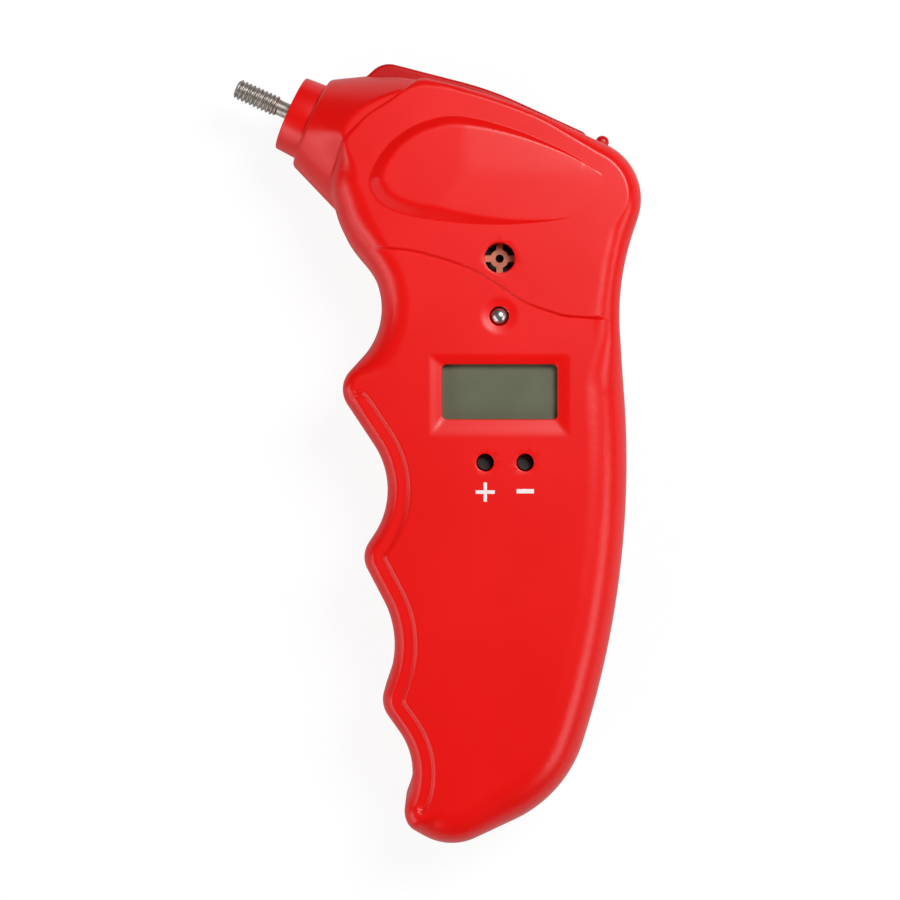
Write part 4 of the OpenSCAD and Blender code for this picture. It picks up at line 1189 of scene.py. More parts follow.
    def pad_width(self, points: Array, inward: Array) -> Array:
        """Width of the pad's sloping side, widest at its front end."""
        front = np.clip(inward @ np.array(self.pad_front), 0.0, 1.0)
        left = np.maximum(self.pad_share(points), self.pad_least)
        return self.pad_side * left * (1.0 + self.pad_widen * front ** 2)

    def features(self, points: Array) -> Array:
        """Pad, bezel, lamp dish and the eased edges of the openings."""
        d, _, _, inward = self.pad.nearest(points)
        u = np.maximum(d, 0.0) / self.pad_width(points, inward)
        z = self.pad_raise * self.pad_share(points) * -smooth_max(-u, np.full_like(u, -1.0), self.blend)
        z = np.where(d > 0, z, 0.0)
        x, y, w, h = self.window
        left, right, low, top = self.bezel
        dx, dy = points[:, 0] - x, points[:, 1] - y
        across = smooth_max((-w - dx) / left, (dx - w) / right, self.blend)
        u = smooth_max(across, smooth_max((-h - dy) / low, (dy - h) / top, self.blend), self.blend)
        z -= self.bezel_depth * np.clip(self.bezel_reach - u, 0.0, 1.0) ** self.bezel_curve
        rho = np.hypot(points[:, 0] - self.lamp_at[0], points[:, 1] - self.lamp_at[1])
        z -= self.dish_depth * ease((self.dish_r - rho) / (self.dish_r - self.lamp_r))
        for gap in self.hole_gaps(points):
            g = np.clip(self.ease_r - gap, 0.0, self.ease_r)
            z -= self.ease_r - np.sqrt(self.ease_r ** 2 - g * g)
        return z

    def hole_gaps(self, points: Array) -> list[Array]:
        """Distance from the border of each opening."""
        rounds = [(self.sound_at, self.sound_r), (self.lamp_at, self.lamp_r), *((c, self.set_r) for c in self.set_at)]
        gaps = [np.maximum(np.hypot(points[:, 0] - c[0], points[:, 1] - c[1]) - r, 0.0) for c, r in rounds]
        x, y, w, h = self.window
        qx = np.maximum(np.abs(points[:, 0] - x) - w + self.window_r, 0.0)
        qy = np.maximum(np.abs(points[:, 1] - y) - h + self.window_r, 0.0)
        gaps.append(np.maximum(np.hypot(qx, qy) - self.window_r, 0.0))
        return gaps

    def openings(self, grow: float) -> list[Array]:
        """Borders of the openings, grown by a distance."""
        x, y, w, h = self.window
        loops = [circle(self.sound_at, self.sound_r + grow, 72), circle(self.lamp_at, self.lamp_r + grow, 56)]
        loops += [circle(c, self.set_r + grow, 56) for c in self.set_at]
        return loops + [round_rect((x, y), (w + grow, h + grow), self.window_r + grow)]

    def hole_loops(self) -> list[Array]:
        """Borders of the openings in the face."""
        return self.openings(0.0)

    def hole_rings(self) -> list[Array]:
        """Rings on the eased edges of the openings."""
        return [loop for share in (0.08, 0.3, 0.6, 1.0) for loop in self.openings(share * self.ease_r)]

    def lines(self) -> list[Array]:
        """Both sides of the panel's step and the border of the pad."""
        pad = np.vstack([self.pad.points, self.pad.points[:1]])
        return [*(self.beside_panel(side) for side in (-0.5, -0.25, 0.0, 0.25, 0.5)), pad]

    def beside_panel(self, side: float) -> Array:
        """Row of points beside the panel's end, by a share of the step's width."""
        lean = np.gradient(self.panel[:, 1], self.panel[:, 0])
        normal = np.column_stack([-lean, np.ones_like(lean)]) / np.sqrt(1 + lean * lean)[:, None]
        row = self.panel + side * self.step_w * normal
        return row[CASE_LINE.nearest(row)[0] > 0.4]

    def close_points(self) -> list[Array]:
        """Fine points round the pad's side, the stepped band, the bezel and the lamp."""
        rows = [self.beside_panel(side) for side in self.panel_rows]
        width = self.pad_width(self.pad.points, self.pad.inward)
        for share in self.pad_rows:
            rows.append(self.pad.points + (share * width)[:, None] * self.pad.inward)
        place = CASE_LINE.place[:-1]
        near = (place > CASE_LINE.middles[TOE] - 3) & (place < CASE_LINE.middles[FIRST_RIDGE] + 3)
        for d in self.band_rows:
            rows.append((CASE_LINE.points + d * CASE_LINE.inward)[near])
        upper = place < CASE_LINE.middles[TOP_END] + self.top_over + self.top_fade + 1
        wide = (1 + self.top_widen) * CASE_LINE.rounding
        for share in self.top_rows:
            rows.append((CASE_LINE.points + (share * wide)[:, None] * CASE_LINE.inward)[upper])
        x, y, w, h = self.window
        left, right, low, top = self.bezel
        for share in self.bezel_rows:
            rows.append(divide_loop(np.array([
                [x + w + share * right, y + h + share * top], [x - w - share * left, y + h + share * top],
                [x - w - share * left, y - h - share * low], [x + w + share * right, y - h - share * low],
            ]), 0.4))
        rows += [circle(self.lamp_at, r, 64) for r in np.linspace(self.lamp_r + 0.35, self.dish_r + 0.4, 7)]
        return rows


@dataclass
class RearShell(HalfShell):
    """Back half: flat back with the battery door's pocket and sunk screw holes."""

    name: str = "rear_case"
    edge_cap: float = 3.0
    edge_share: float = 0.1
    nose_top: float = 11.7
    screw_at: Sequence[tuple[float, float]] = SCREW_AT
    screw_r: float = 2.5
    screw_cup: float = 4.8
    cup_wall: float = 0.5
    cup_clear: float = 0.6
    cup_floor: float = 1.0
    cup_room: float = 2.0
    widest_hole: float = 10.0
    door: tuple[float, float, float, float] = (-1.8, 22.2, -53.6, -2.4)
    tab: tuple[float, float, float] = (5.5, 14.9, -59.0)
    pocket: float = 1.55
    bay: tuple[float, float, float, float] = (-0.8, 21.2, -52.4, -3.6)

    def door_loop(self) -> Array:
        """Border of the door's pocket, anticlockwise."""
        x0, x1, y0, y1 = self.door
        a, b, low = self.tab
        corners = [[x1, y1], [x0, y1], [x0, y0], [a, y0], [a, low], [b, low], [b, y0], [x1, y0]]
        return divide_loop(np.array(corners), 1.5)

    def hole_loops(self) -> list[Array]:
        """Borders of the screw holes and of the door's pocket."""
        return [circle(c, self.screw_r, 48) for c in self.screw_at] + [self.door_loop()]

    def inner_place(self, points: Array) -> Array:
        """Places of the hollow's border, led round the screw cups that stand in the wall."""
        inner = super().inner_place(points)
        reach = self.screw_r + self.cup_wall
        _, _, _, inward = CASE_LINE.nearest(points)
        for at in self.screw_at:
            gap = np.linalg.norm(inner - at, axis=1)
            if gap.min() < reach + self.cup_clear:
                into = inward[gap.argmin()]
                aside = np.array([-into[1], into[0]])
                along = (inner - at) @ aside
                near = (gap < reach + self.cup_room) & (np.abs(along) < reach)
                bulge = np.sqrt(np.maximum(reach ** 2 - along ** 2, 0.0))[:, None] * into
                inner[near] = (at + along[:, None] * aside + bulge)[near]
        return inner

    def close_inside(self, soup: Soup, inner: Array, holes: Sequence[tuple[Array, Array]]) -> None:
        """Adds the floor, the screw cups and the pocket with the battery bay's opening."""
        ceiling, cup = self.depth - self.wall, self.depth - self.screw_cup
        x0, x1, y0, y1 = self.bay
        bay = divide_loop(np.array([[x1, y1], [x0, y1], [x0, y0], [x1, y0]]), 3.0)
        reach = self.screw_r + self.cup_wall
        free = [c for c in self.screw_at if np.linalg.norm(inner - c, axis=1).min() > reach + 0.01]
        cups = [circle(c, reach, 48) for c in free]
        keep = np.linalg.norm(inner - np.roll(inner, 1, axis=0), axis=1) > 1e-4
        self.flat(soup, [inner[keep], bay, *cups], ceiling, Skin.INSIDE, down=True)
        for loop in cups:
            low = cup - self.cup_floor
            soup.strip(at_height(loop, low), at_height(loop, ceiling), Skin.INSIDE)
            self.flat(soup, [loop], low, Skin.INSIDE, down=True)
        shelf = self.depth - self.pocket
        for xy, top in holes:
            small = np.ptp(xy[:, 0]) < self.widest_hole
            floor = cup if small else shelf
            soup.strip(at_height(xy, top), at_height(xy, floor), Skin.POCKET)
            self.flat(soup, [xy] if small else [xy, bay], floor, Skin.HOLE, down=False)
        soup.strip(at_height(bay[::-1], shelf), at_height(bay[::-1], ceiling), Skin.POCKET)

    def finish(self, soup: Soup) -> bpy.types.Object:
        """Turns the shell over, under the parting plane."""
        for points in soup.points:
            points[:, 2] = NOSE.z - points[:, 2]
        return soup.build(self.name, [(Skin.FACE, Skin.WALL)], flip=True)


# Turned and moulded pieces


def stack(name: str, rings: Sequence[Array], crisp: float) -> bpy.types.Object:
    """Closed piece from rings of equally many points, one after the other.

    Args:
        name: object's name.
        rings: the rings; the last joins the first, or both shrink to a point.
        crisp: edges over this many degrees are crisp.

    Returns:
        The object.
    """
    soup = Soup()
    for first, second in zip(rings, rings[1:]):
        soup.strip(first, second, 0)
    return outwards(soup.build(name), crisp)


def outwards(obj: bpy.types.Object, crisp: float) -> bpy.types.Object:
    """Turns the faces of a closed mesh outwards and makes its edges over an angle crisp."""
    work = bmesh.new()
    work.from_mesh(obj.data)
    bmesh.ops.recalc_face_normals(work, faces=work.faces)
    work.to_mesh(obj.data)
    work.free()
    sharpen(obj, crisp)
    return obj


def lathe(name: str, profile: Sequence[tuple[float, float]], sides: int = 96, crisp: float = 30.0) -> bpy.types.Object:
    """Turned piece on the probe's axis.

    Args:
        name: object's name.
        profile: station and radius of each corner, once round the section.
        sides: facets round the axis.
        crisp: edges over this many degrees are crisp.

    Returns:
        The object.
    """
    a = np.linspace(0.0, 2 * math.pi, sides, endpoint=False)
    rings = [NOSE.out(t, r * np.sin(a), r * np.cos(a)) for t, r in profile]
    return stack(name, rings + rings[:1], crisp)


def arc_corner(
    centre: tuple[float, float], r: float, start: float, end: float, steps: int = 6
) -> list[tuple[float, float]]:
    """Rounded corner of a turned profile, between two angles in degrees."""
    angles = [math.radians(start + (end - start) * k / steps) for k in range(steps + 1)]
    return [(centre[0] + r * math.cos(a), centre[1] + r * math.sin(a)) for a in angles]


def slab(name: str, line: Outline, low: float, high: float, edge: float) -> bpy.types.Object:
    """Moulded piece with a flat outline across the parting plane and rounded edges.

    Args:
        name: object's name.
        line: outline in t and lat, clockwise.
        low: lower side under the parting plane.
        high: upper side over it.
        edge: radius of its edges.

    Returns:
        The object.
    """
    soup = Soup()
    rows = []
    for degrees in np.linspace(0, 90, 9):
        a = math.radians(degrees)
        flat = line.points + edge * (1 - math.cos(a)) * line.inward
        rows.append((flat, edge * (1 - math.sin(a))))
    levels = [(flat, high - drop) for flat, drop in rows[::-1]] + [(flat, low + drop) for flat, drop in rows]
    solid = [NOSE.out(flat[:, 0], flat[:, 1], up) for flat, up in levels]
    for first, second in zip(solid, solid[1:]):
        soup.strip(first[::-1], second[::-1], 0)
    cap = rows[-1][0]
    ring = line.points + (edge + 0.4) * line.inward
    ring = ring[line.nearest(ring)[0] > edge + 0.3]
    verts, tris, _ = triangulate(np.vstack([cap, ring]), ring_edges(len(cap)), [cap])
    soup.add(NOSE.out(verts[:, 0], verts[:, 1], high), tris, 0)
    soup.add(NOSE.out(verts[:, 0], verts[:, 1], low), tris[:, ::-1], 0)
    return outwards(soup.build(name), 35.0)


@dataclass
class ProbeGroup:
    """Collar, brass bush and the sprung rod with its threaded tip."""

    collar_out: float = 4.3
    front_r: float = 6.95
    collar_r: float = 7.2
    seat: float = 2.6
    flange_r: float = 8.0
    flange_end: float = 4.4
    spigot_r: float = 5.0
    spigot_end: float = 5.8
    bush_r: float = 3.0
    bush_end: float = 6.6
    bush_rim: float = 1.2
    rod_r: float = 1.4
    thread_r: float = 1.85
    pitch: float = 0.794
    depth: float = 0.4
    tip: float = -15.15
    thread_length: float = 8.4
    thread_end: float = 0.5
    lead_r: float = 1.31
    lead_slope: float = 1.6
    vee: tuple[float, float] = (1.45, 0.32)
    rod_end: float = 37.9
    rod_chamfer: float = 0.2
    room_end: float = 3.45
    fit: float = 0.05
    thread_fit: float = 0.1
    collar_edge: float = 0.35
    bush_back: float = 0.4
    bush_chamfer: float = 0.15

    def build(self) -> None:
        """Builds and dresses the pieces."""
        place(self.collar(), Body.CASE, CASE_RED, "case_red", "nose_collar")
        place(self.bush(), Body.CASE, BUSH_BRASS, "bush_brass", "guide_bush")
        place(self.rod(), Body.PROBE, PROBE_STEEL, "probe_steel", "probe_rod")

    def collar(self) -> bpy.types.Object:
        """Red collar that is pressed against the tread."""
        edge, bore, front = self.collar_edge, self.bush_r + self.fit, -self.collar_out + self.collar_edge
        return lathe("collar", [
            *arc_corner((front, self.front_r - edge), edge, 180, 95),
            (0.0, self.collar_r), (self.seat, self.collar_r), (self.seat, self.flange_r),
            (self.flange_end, self.flange_r), (self.flange_end, self.spigot_r), (self.spigot_end, self.spigot_r),
            (self.spigot_end, bore), *arc_corner((front, bore + edge), edge, 270, 180),
        ])

    def bush(self) -> bpy.types.Object:
        """Brass bush with room for the thread in front and a guide behind."""
        front, chamfer, rim = -self.collar_out + self.bush_back, self.bush_chamfer, self.bush_r + self.bush_rim
        wide, fit = self.thread_r + self.thread_fit, self.rod_r + self.fit
        return lathe("bush", [
            (front, wide), (front, self.bush_r - chamfer), (front + chamfer, self.bush_r),
            (self.spigot_end, self.bush_r), (self.spigot_end, rim), (self.bush_end, rim), (self.bush_end, fit),
            (self.room_end, fit), (self.room_end, wide),
        ])

    def rod(self) -> bpy.types.Object:
        """Steel rod, its tip cut with a helical thread that starts and runs out in a taper."""
        sides, per_pitch = 60, 14
        t = np.arange(0.0, self.thread_length + 0.6, self.pitch / per_pitch)
        a = np.linspace(0.0, 2 * math.pi, sides, endpoint=False)
        tt, aa = np.meshgrid(t, a, indexing="ij")
        phase = (tt / self.pitch - aa / (2 * math.pi)) % 1.0
        steep, flat = self.vee
        vee = np.clip(np.abs(phase - 0.5) / 0.5 * steep - flat, 0.0, 1.0)
        lead = np.minimum(self.thread_r, self.lead_r + tt * self.lead_slope)
        run = np.clip((self.thread_length - tt) / self.thread_end, 0.0, 1.0)
        r = np.minimum(self.thread_r - self.depth * vee, lead) * run + self.rod_r * (1 - run)
        tail = self.rod_end - self.rod_chamfer, self.rod_r - self.rod_chamfer
        ends = [(tail[0], self.rod_r), (self.rod_end, tail[1]), (self.rod_end, 0.0)]
        turns = [(self.tip, 0.0 * a), *zip(self.tip + t, r), *((end, radius + 0.0 * a) for end, radius in ends)]
        return stack("probe", [NOSE.out(end, q * np.sin(a), q * np.cos(a)) for end, q in turns], 50.0)


@dataclass
class TopControls:
    """Press lever along the top edge and the power button behind it."""

    lever_corners: Sequence[Sequence[float]] = (
        (5.1, 10, 0.75), (7.3, 15.05, 4.2), (27, 18.55, 60), (46.8, 18.5, 1.6), (46.8, 12.6, 1.5), (20, 12.4, 10),
        (9, 10.6, 6),
    )
    lever_half: float = 3.7
    lever_edge: float = 0.6
    button_at: float = 49.4
    button_half_w: float = 1.2
    button_top: float = 19.5
    button_low: float = 13.6
    button_half: float = 3.5
    button_edge: float = 1.0
    button_foot_r: float = 0.2

    def build(self) -> None:
        """Builds and dresses the pieces."""
        line = Outline(list(self.lever_corners), 0.4)
        lever = slab("lever", line, -self.lever_half, self.lever_half, self.lever_edge)
        place(lever, Body.LEVER, SHADED_LEVER_RED, "lever_red", "read_lever")
        left, right = self.button_at - self.button_half_w, self.button_at + self.button_half_w
        top_r, foot_r = self.button_half_w - 0.01, self.button_foot_r
        line = Outline([
            [left, self.button_top, top_r], [right, self.button_top, top_r],
            [right, self.button_low, foot_r], [left, self.button_low, foot_r],
        ], 0.2)
        button = slab("power_knob", line, -self.button_half, self.button_half, self.button_edge)
        place(button, Body.POWER, SHADED_LEVER_RED, "lever_red", "power_button")


@dataclass
class FaceDetails:
    """What shows in the openings of the face, and the printed marks."""

    face: float = 24.0
    marks: Sequence[tuple[float, float, bool]] = ((8.7, -6.75, True), (15.8, -6.6, False))
    plus_size: tuple[float, float] = (3.4, 0.62)
    minus_size: tuple[float, float] = (3.1, 0.78)
    ink: float = 0.03
    lcd_edge: float = 0.25
    lcd_corner: float = 0.4
    lamp_at: tuple[float, float] = LAMP_AT
    lamp_r: float = 1.62
    lamp_rim: tuple[float, float] = (0.4, 1.0)
    lamp_low: float = 18.9
    lamp_top: float = 24.2

    def build(self) -> None:
        """Builds and dresses the pieces."""
        place(self.print_marks(), Body.CASE, WHITE_INK, "lamp_clear")
        place(self.lamp(), Body.CASE, LAMP_CLEAR, "lamp_clear", "indicator_lamp")
        place(self.display(), Body.CASE, LCD_GREY, "lcd_grey", "lcd_glass")

    def print_marks(self) -> bpy.types.Object:
        """White plus and minus signs under the setting holes."""
        soup = Soup()
        for x, y, plus in self.marks:
            w, h = (v / 2 for v in (self.plus_size if plus else self.minus_size))
            if plus:
                loop = [
                    [w, h], [h, h], [h, w], [-h, w], [-h, h], [-w, h],
                    [-w, -h], [-h, -h], [-h, -w], [h, -w], [h, -h], [w, -h],
                ]
            else:
                loop = [[w, h], [-w, h], [-w, -h], [w, -h]]
            xy = np.array(loop) + [x, y]
            verts, tris, _ = triangulate(xy, ring_edges(len(xy)), [xy])
            low, high = self.face - self.ink, self.face + self.ink
            soup.add(at_height(verts, high), tris, 0)
            soup.add(at_height(verts, low), tris[:, ::-1], 0)
            soup.strip(at_height(xy, high), at_height(xy, low), 0)
        obj = soup.build("set_marks")
        sharpen(obj, 30.0)
        return obj

    def lamp(self) -> bpy.types.Object:
        """Domed clear lamp with its base rim."""
        r, (rim, rim_top) = self.lamp_r, self.lamp_rim
        dome = self.lamp_top - self.lamp_low - r
        profile = [(0.0, 0.0), (0.0, r + rim), (rim_top, r + rim), (rim_top, r)]
        profile += [(dome + r * math.sin(a), r * math.cos(a)) for a in np.linspace(0, math.pi / 2, 14)]
        rings = [at_height(circle(self.lamp_at, q, 64), self.lamp_low + z) for z, q in profile]
        return stack("lamp", rings, 40.0)

    def display(self) -> bpy.types.Object:
        """Display glass with ground edges."""
        low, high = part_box("lcd_glass")
        low, high = np.array(low) / MM, np.array(high) / MM
        centre, half = (low + high) / 2, (high - low) / 2
        soup, rows = Soup(), []
        loop = round_rect(centre[:2], half[:2], self.lcd_corner, 3)

        def shrink(inset: float) -> Array:
            """The glass's border, moved inwards."""
            return centre[:2] + (loop - centre[:2]) * (1.0 - inset / half[:2])

        for inset, z in ((0.0, low[2]), (0.0, high[2] - self.lcd_edge), (self.lcd_edge, high[2])):
            rows.append(at_height(shrink(inset), z))
        soup.strip(rows[1], rows[0], 0)
        soup.strip(rows[2], rows[1], 0)
        for row, inset, down in ((rows[2], 0.8, False), (rows[0], 0.5, True)):
            flat = np.vstack([row[:, :2], shrink(inset)])
            verts, tris, _ = triangulate(flat, ring_edges(len(loop)), [row[:, :2]])
            soup.add(at_height(verts, row[0, 2]), tris[:, ::-1] if down else tris, 0)
        obj = soup.build("display")
        sharpen(obj, 30.0)
        return obj


@dataclass
class ScrewSet:
    """Equal screws at several places, pointing up, made by one node tree."""

    name: str
    places: Sequence[tuple[float, float]]
    head_low: float
    head_r: float
    head_t: float
    shank_r: float
    length: float
    head_sides: int = 48
    shank_sides: int = 32
    slot_reach: float = 1.15
    slot_width: float = 0.3
    slot_depths: tuple[float, float] = (1.1, 1.2)

    @property
    def sizes(self) -> dict[str, float]:
        """Inputs of the node tree, in millimetres."""
        return {
            "Head Radius": self.head_r, "Head Height": self.head_t,
            "Shank Radius": self.shank_r, "Shank Length": self.length,
        }

    def cylinder(self, tree: bpy.types.NodeTree, sides: int, radius: Any, length: Any, middle: Any) -> Any:
        """Adds a cylinder along z, its middle at a height, and returns its mesh socket."""
        mesh = add_node(
            tree, "GeometryNodeMeshCylinder",
            {"Vertices": sides, "Side Segments": 1, "Radius": radius, "Depth": length},
        ).outputs["Mesh"]
        rise = add_node(tree, "ShaderNodeCombineXYZ", {"Z": middle}).outputs[0]
        return add_node(tree, "GeometryNodeTransform", {"Geometry": mesh, "Translation": rise}).outputs[0]

    def tree(self, finish: Finish) -> bpy.types.NodeTree:
        """Node tree that sets one screw on every point."""
        tree = bpy.data.node_groups.new(self.name + "_tree", "GeometryNodeTree")
        face = tree.interface
        face.new_socket("Geometry", in_out="INPUT", socket_type="NodeSocketGeometry")
        for label in self.sizes:
            face.new_socket(label, in_out="INPUT", socket_type="NodeSocketFloat")
        face.new_socket("Geometry", in_out="OUTPUT", socket_type="NodeSocketGeometry")
        inp = add_node(tree, "NodeGroupInput").outputs
        tall, length = inp["Head Height"], inp["Shank Length"]
        head = self.cylinder(tree, self.head_sides, inp["Head Radius"], tall, calculate(tree, tall, 0.5, "MULTIPLY"))
        wide = calculate(tree, inp["Head Radius"], self.slot_reach, "MULTIPLY")
        thin = calculate(tree, inp["Head Radius"], self.slot_width, "MULTIPLY")
        for (x, y), share in zip(((wide, thin), (thin, wide)), self.slot_depths):
            deep = calculate(tree, tall, share, "MULTIPLY")
            size = add_node(tree, "ShaderNodeCombineXYZ", {"X": x, "Y": y, "Z": deep}).outputs[0]
            bar = add_node(tree, "GeometryNodeMeshCube", {"Size": size}).outputs["Mesh"]
            cut = add_node(tree, "GeometryNodeMeshBoolean", {"Mesh 1": head, "Mesh 2": bar}, operation="DIFFERENCE")
            head = cut.outputs["Mesh"]
        middle = calculate(tree, calculate(tree, length, 0.5, "MULTIPLY"), tall, "ADD")
        shank = self.cylinder(tree, self.shank_sides, inp["Shank Radius"], length, middle)
        join = add_node(tree, "GeometryNodeJoinGeometry")
        tree.links.new(head, join.inputs[0])
        tree.links.new(shank, join.inputs[0])
        spread = add_node(
            tree, "GeometryNodeInstanceOnPoints", {"Points": inp["Geometry"], "Instance": join.outputs[0]}
        )
        real = add_node(tree, "GeometryNodeRealizeInstances", {"Geometry": spread.outputs[0]})
        painted = add_node(
            tree, "GeometryNodeSetMaterial", {"Geometry": real.outputs[0], "Material": finish.material()}
        )
        add_node(tree, "NodeGroupOutput", {"Geometry": painted.outputs[0]})
        return tree

    def build(self, finish: Finish) -> bpy.types.Object:
        """Makes the screws as one plain mesh."""
        points = bpy.data.meshes.new(self.name + "_points")
        points.from_pydata([(x * MM, y * MM, self.head_low * MM) for x, y in self.places], [], [])
        seat = link(bpy.data.objects.new(self.name + "_seat", points))
        tree = self.tree(finish)
        modifier = seat.modifiers.new("screws", "NODES")
        modifier.node_group = tree
        for item in tree.interface.items_tree:
            if item.in_out == "INPUT" and item.name in self.sizes:
                modifier[item.identifier] = self.sizes[item.name] * MM
        bpy.context.view_layer.update()
        done = seat.evaluated_get(bpy.context.evaluated_depsgraph_get())
        mesh = bpy.data.meshes.new_from_object(done)
        bpy.data.objects.remove(seat)
        obj = link(bpy.data.objects.new(self.name, mesh))
        sharpen(obj, 30.0)
        return obj


@dataclass
class BackDetails:
    """Screws of the back."""

    head_low: float = 3.0
    head_r: float = 2.3
    head_t: float = 1.8
    shank_r: float = 1.25
    length: float = 12.0

    def build(self) -> None:
        """Builds and dresses the pieces."""
        screws = ScrewSet(
            "back_screws", SCREW_AT, self.head_low, self.head_r, self.head_t, self.shank_r, self.length
        )
        place(screws.build(SCREW_STEEL), Body.CASE, SCREW_STEEL, "screw_steel", "case_screws")


INNER: dict[str, tuple[Finish, str]] = {
    "probe_stop_ring": (SPRING_STEEL, "spring_steel"), "probe_spring": (SPRING_STEEL, "spring_steel"),
    "rear_guide": (BLACK_PLASTIC, "black_plastic"), "wiper_carrier": (BLACK_PLASTIC, "black_plastic"),
    "wiper_contacts": (BUSH_BRASS, "bush_brass"), "sensor_board": (BOARD_GREEN, "board_green"),
    "sensor_tracks": (CARBON, "carbon_track"), "lever_pin": (SPRING_STEEL, "spring_steel"),
    "lever_spring": (SPRING_STEEL, "spring_steel"), "read_switch_base": (BLACK_PLASTIC, "black_plastic"),
    "read_switch_plunger": (SPRING_STEEL, "spring_steel"), "power_switch_base": (BLACK_PLASTIC, "black_plastic"),
    "power_switch_plunger": (SPRING_STEEL, "spring_steel"), "main_board": (BOARD_GREEN, "board_green"),
    "board_screws": (SCREW_STEEL, "screw_steel"), "lcd_holder": (BLACK_PLASTIC, "black_plastic"),
    "contact_strips": (STRIP_PINK, "strip_rubber"), "controller_chip": (BLACK_PLASTIC, "black_plastic"),
    "sounder_can": (BLACK_PLASTIC, "black_plastic"), "sounder_plate": (PLATE_BROWN, "plate_copper"),
    "lamp_leads": (SPRING_STEEL, "spring_steel"), "set_switch_bases": (BLACK_PLASTIC, "black_plastic"),
    "plus_plunger": (PLUNGER_BLACK_SHADED, "black_plastic"), "minus_plunger": (PLUNGER_BLACK_SHADED, "black_plastic"),
    "battery_door": (CASE_RED, "case_red"), "battery_door_screw": (SCREW_STEEL, "screw_steel"),
    "battery_cells": (CELL_JACKET, "cell_jacket"), "battery_springs": (SPRING_STEEL, "spring_steel"),
    "battery_terminals": (SPRING_STEEL, "spring_steel"), "battery_bridge": (SPRING_STEEL, "spring_steel"),
    "battery_lead_red": (LEAD_RED, "lead_red"), "battery_lead_black": (LEAD_BLACK, "lead_black"),
    "sensor_ribbon": (RIBBON_GREY, "ribbon_grey"),
}


@dataclass
class Works:
    """The frame's own pieces that stay: boards, switches, springs, cells and the battery door."""

    def dress(self) -> None:
        """Gives each its finish."""
        for node, (finish, slot) in INNER.items():
            dress(frame["nodes"][node], finish, slot)
            LOG.info("%s: kept", node)


@dataclass(frozen=True)
class SoftBox:
    """An area light: its middle, what it points at, its width and height, all in millimetres, and its watts."""

    name: str
    at: tuple[float, float, float]
    aim: tuple[float, float, float]
    size: tuple[float, float]
    watts: float

    def build(self) -> None:
        """Adds the light."""
        data = bpy.data.lights.new(self.name, "AREA")
        data.shape, data.size, data.size_y = "RECTANGLE", self.size[0] * MM, self.size[1] * MM
        data.energy = self.watts
        lamp = link(bpy.data.objects.new(self.name, data))
        lamp.location = Vector(self.at) * MM
        lamp.rotation_euler = (Vector(self.aim) - Vector(self.at)).to_track_quat("-Z", "Y").to_euler()


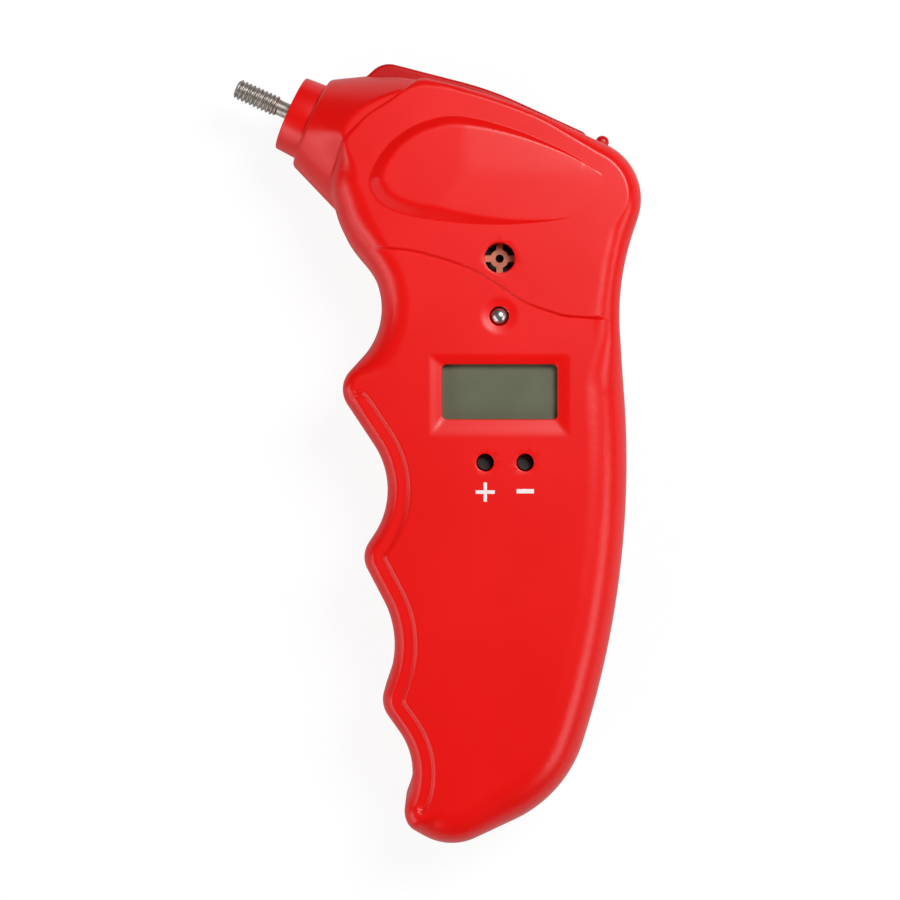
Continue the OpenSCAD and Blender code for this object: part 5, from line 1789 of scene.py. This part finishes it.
@dataclass
class Studio:
    """Pale floor, soft boxes and the camera straight above.

    The camera sees the floor mostly as white, so only a share of its shading, the shadow, stays.
    """

    camera_at: tuple[float, float, float] = (2.4545, 0.709, 502.0)
    lens: float = 107.8
    lights: Sequence[SoftBox] = (
        SoftBox("key", (230, 240, 540), (5, 10, 12), (230, 230), 3.05),
        SoftBox("fill", (-400, -230, 290), (0, 0, 12), (700, 160), 1.25),
        SoftBox("left", (-400, -220, 90), (0, 10, 12), (500, 100), 0.3),
        SoftBox("right", (430, -170, 270), (10, -20, 12), (420, 150), 0.68),
    )
    floor_half: float = 1500.0
    floor_gap: float = 0.05
    floor_paint: float = 0.6
    floor_white: float = 1.105
    white_share: float = 0.82
    mirror_share: float = 0.1
    world_light: float = 0.07

    def build(self) -> None:
        """Sets up floor, lights, world and camera."""
        self.floor()
        self.world()
        for light in self.lights:
            light.build()
        data = bpy.data.cameras.new("camera")
        data.lens, data.sensor_width = self.lens, 36.0
        data.clip_start, data.clip_end = 0.01, 10.0
        camera = link(bpy.data.objects.new("camera", data))
        camera.location = Vector(self.camera_at) * MM
        bpy.context.scene.camera = camera
        bpy.context.scene.view_settings.view_transform = "Standard"

    def floor(self) -> None:
        """Pale floor under the gauge, which keeps its shadow."""
        h, z = self.floor_half * MM, -self.floor_gap * MM
        mesh = bpy.data.meshes.new("floor")
        mesh.from_pydata([(-h, -h, z), (h, -h, z), (h, h, z), (-h, h, z)], [], [(0, 1, 2, 3)])
        floor = link(bpy.data.objects.new("floor", mesh))
        made = bpy.data.materials.new("pale_floor")
        made.use_nodes = True
        tree = made.node_tree
        tree.nodes.clear()
        path = add_node(tree, "ShaderNodeLightPath").outputs
        bent = calculate(tree, path["Is Glossy Ray"], path["Is Transmission Ray"], "MAXIMUM")
        bent = calculate(tree, bent, self.mirror_share, "MULTIPLY")
        seen = calculate(tree, path["Is Camera Ray"], self.white_share, "MULTIPLY")
        share = calculate(tree, seen, bent, "MAXIMUM")
        paint = add_node(tree, "ShaderNodeBsdfDiffuse", {"Color": (*[self.floor_paint] * 3, 1.0)})
        glow = add_node(tree, "ShaderNodeEmission", {"Color": (1.0, 1.0, 1.0, 1.0), "Strength": self.floor_white})
        mixed = add_node(tree, "ShaderNodeMixShader", {0: share, 1: paint.outputs[0], 2: glow.outputs[0]})
        add_node(tree, "ShaderNodeOutputMaterial", {"Surface": mixed.outputs[0]})
        mesh.materials.append(made)

    def world(self) -> None:
        """Even pale surroundings."""
        world = bpy.data.worlds.new("studio")
        bpy.context.scene.world = world
        world.use_nodes = True
        tree = world.node_tree
        tree.nodes.clear()
        path = add_node(tree, "ShaderNodeLightPath").outputs
        level = add_node(
            tree, "ShaderNodeMapRange", {"Value": path["Is Camera Ray"], "To Min": self.world_light, "To Max": 1.0}
        )
        light = add_node(tree, "ShaderNodeBackground", {"Color": (1.0, 1.0, 1.0, 1.0), "Strength": level.outputs[0]})
        add_node(tree, "ShaderNodeOutputWorld", {"Surface": light.outputs[0]})


def main() -> None:
    """Builds and dresses the gauge, then the studio."""
    logging.basicConfig(level=logging.INFO, format="%(message)s")
    place(FrontShell().build(), Body.CASE, CASE_RED, "case_red", "front_shell")
    place(RearShell().build(), Body.CASE, CASE_RED, "case_red", "rear_shell")
    ProbeGroup().build()
    TopControls().build()
    FaceDetails().build()
    BackDetails().build()
    Works().dress()
    Studio().build()


if __name__ == "__main__":
    main()
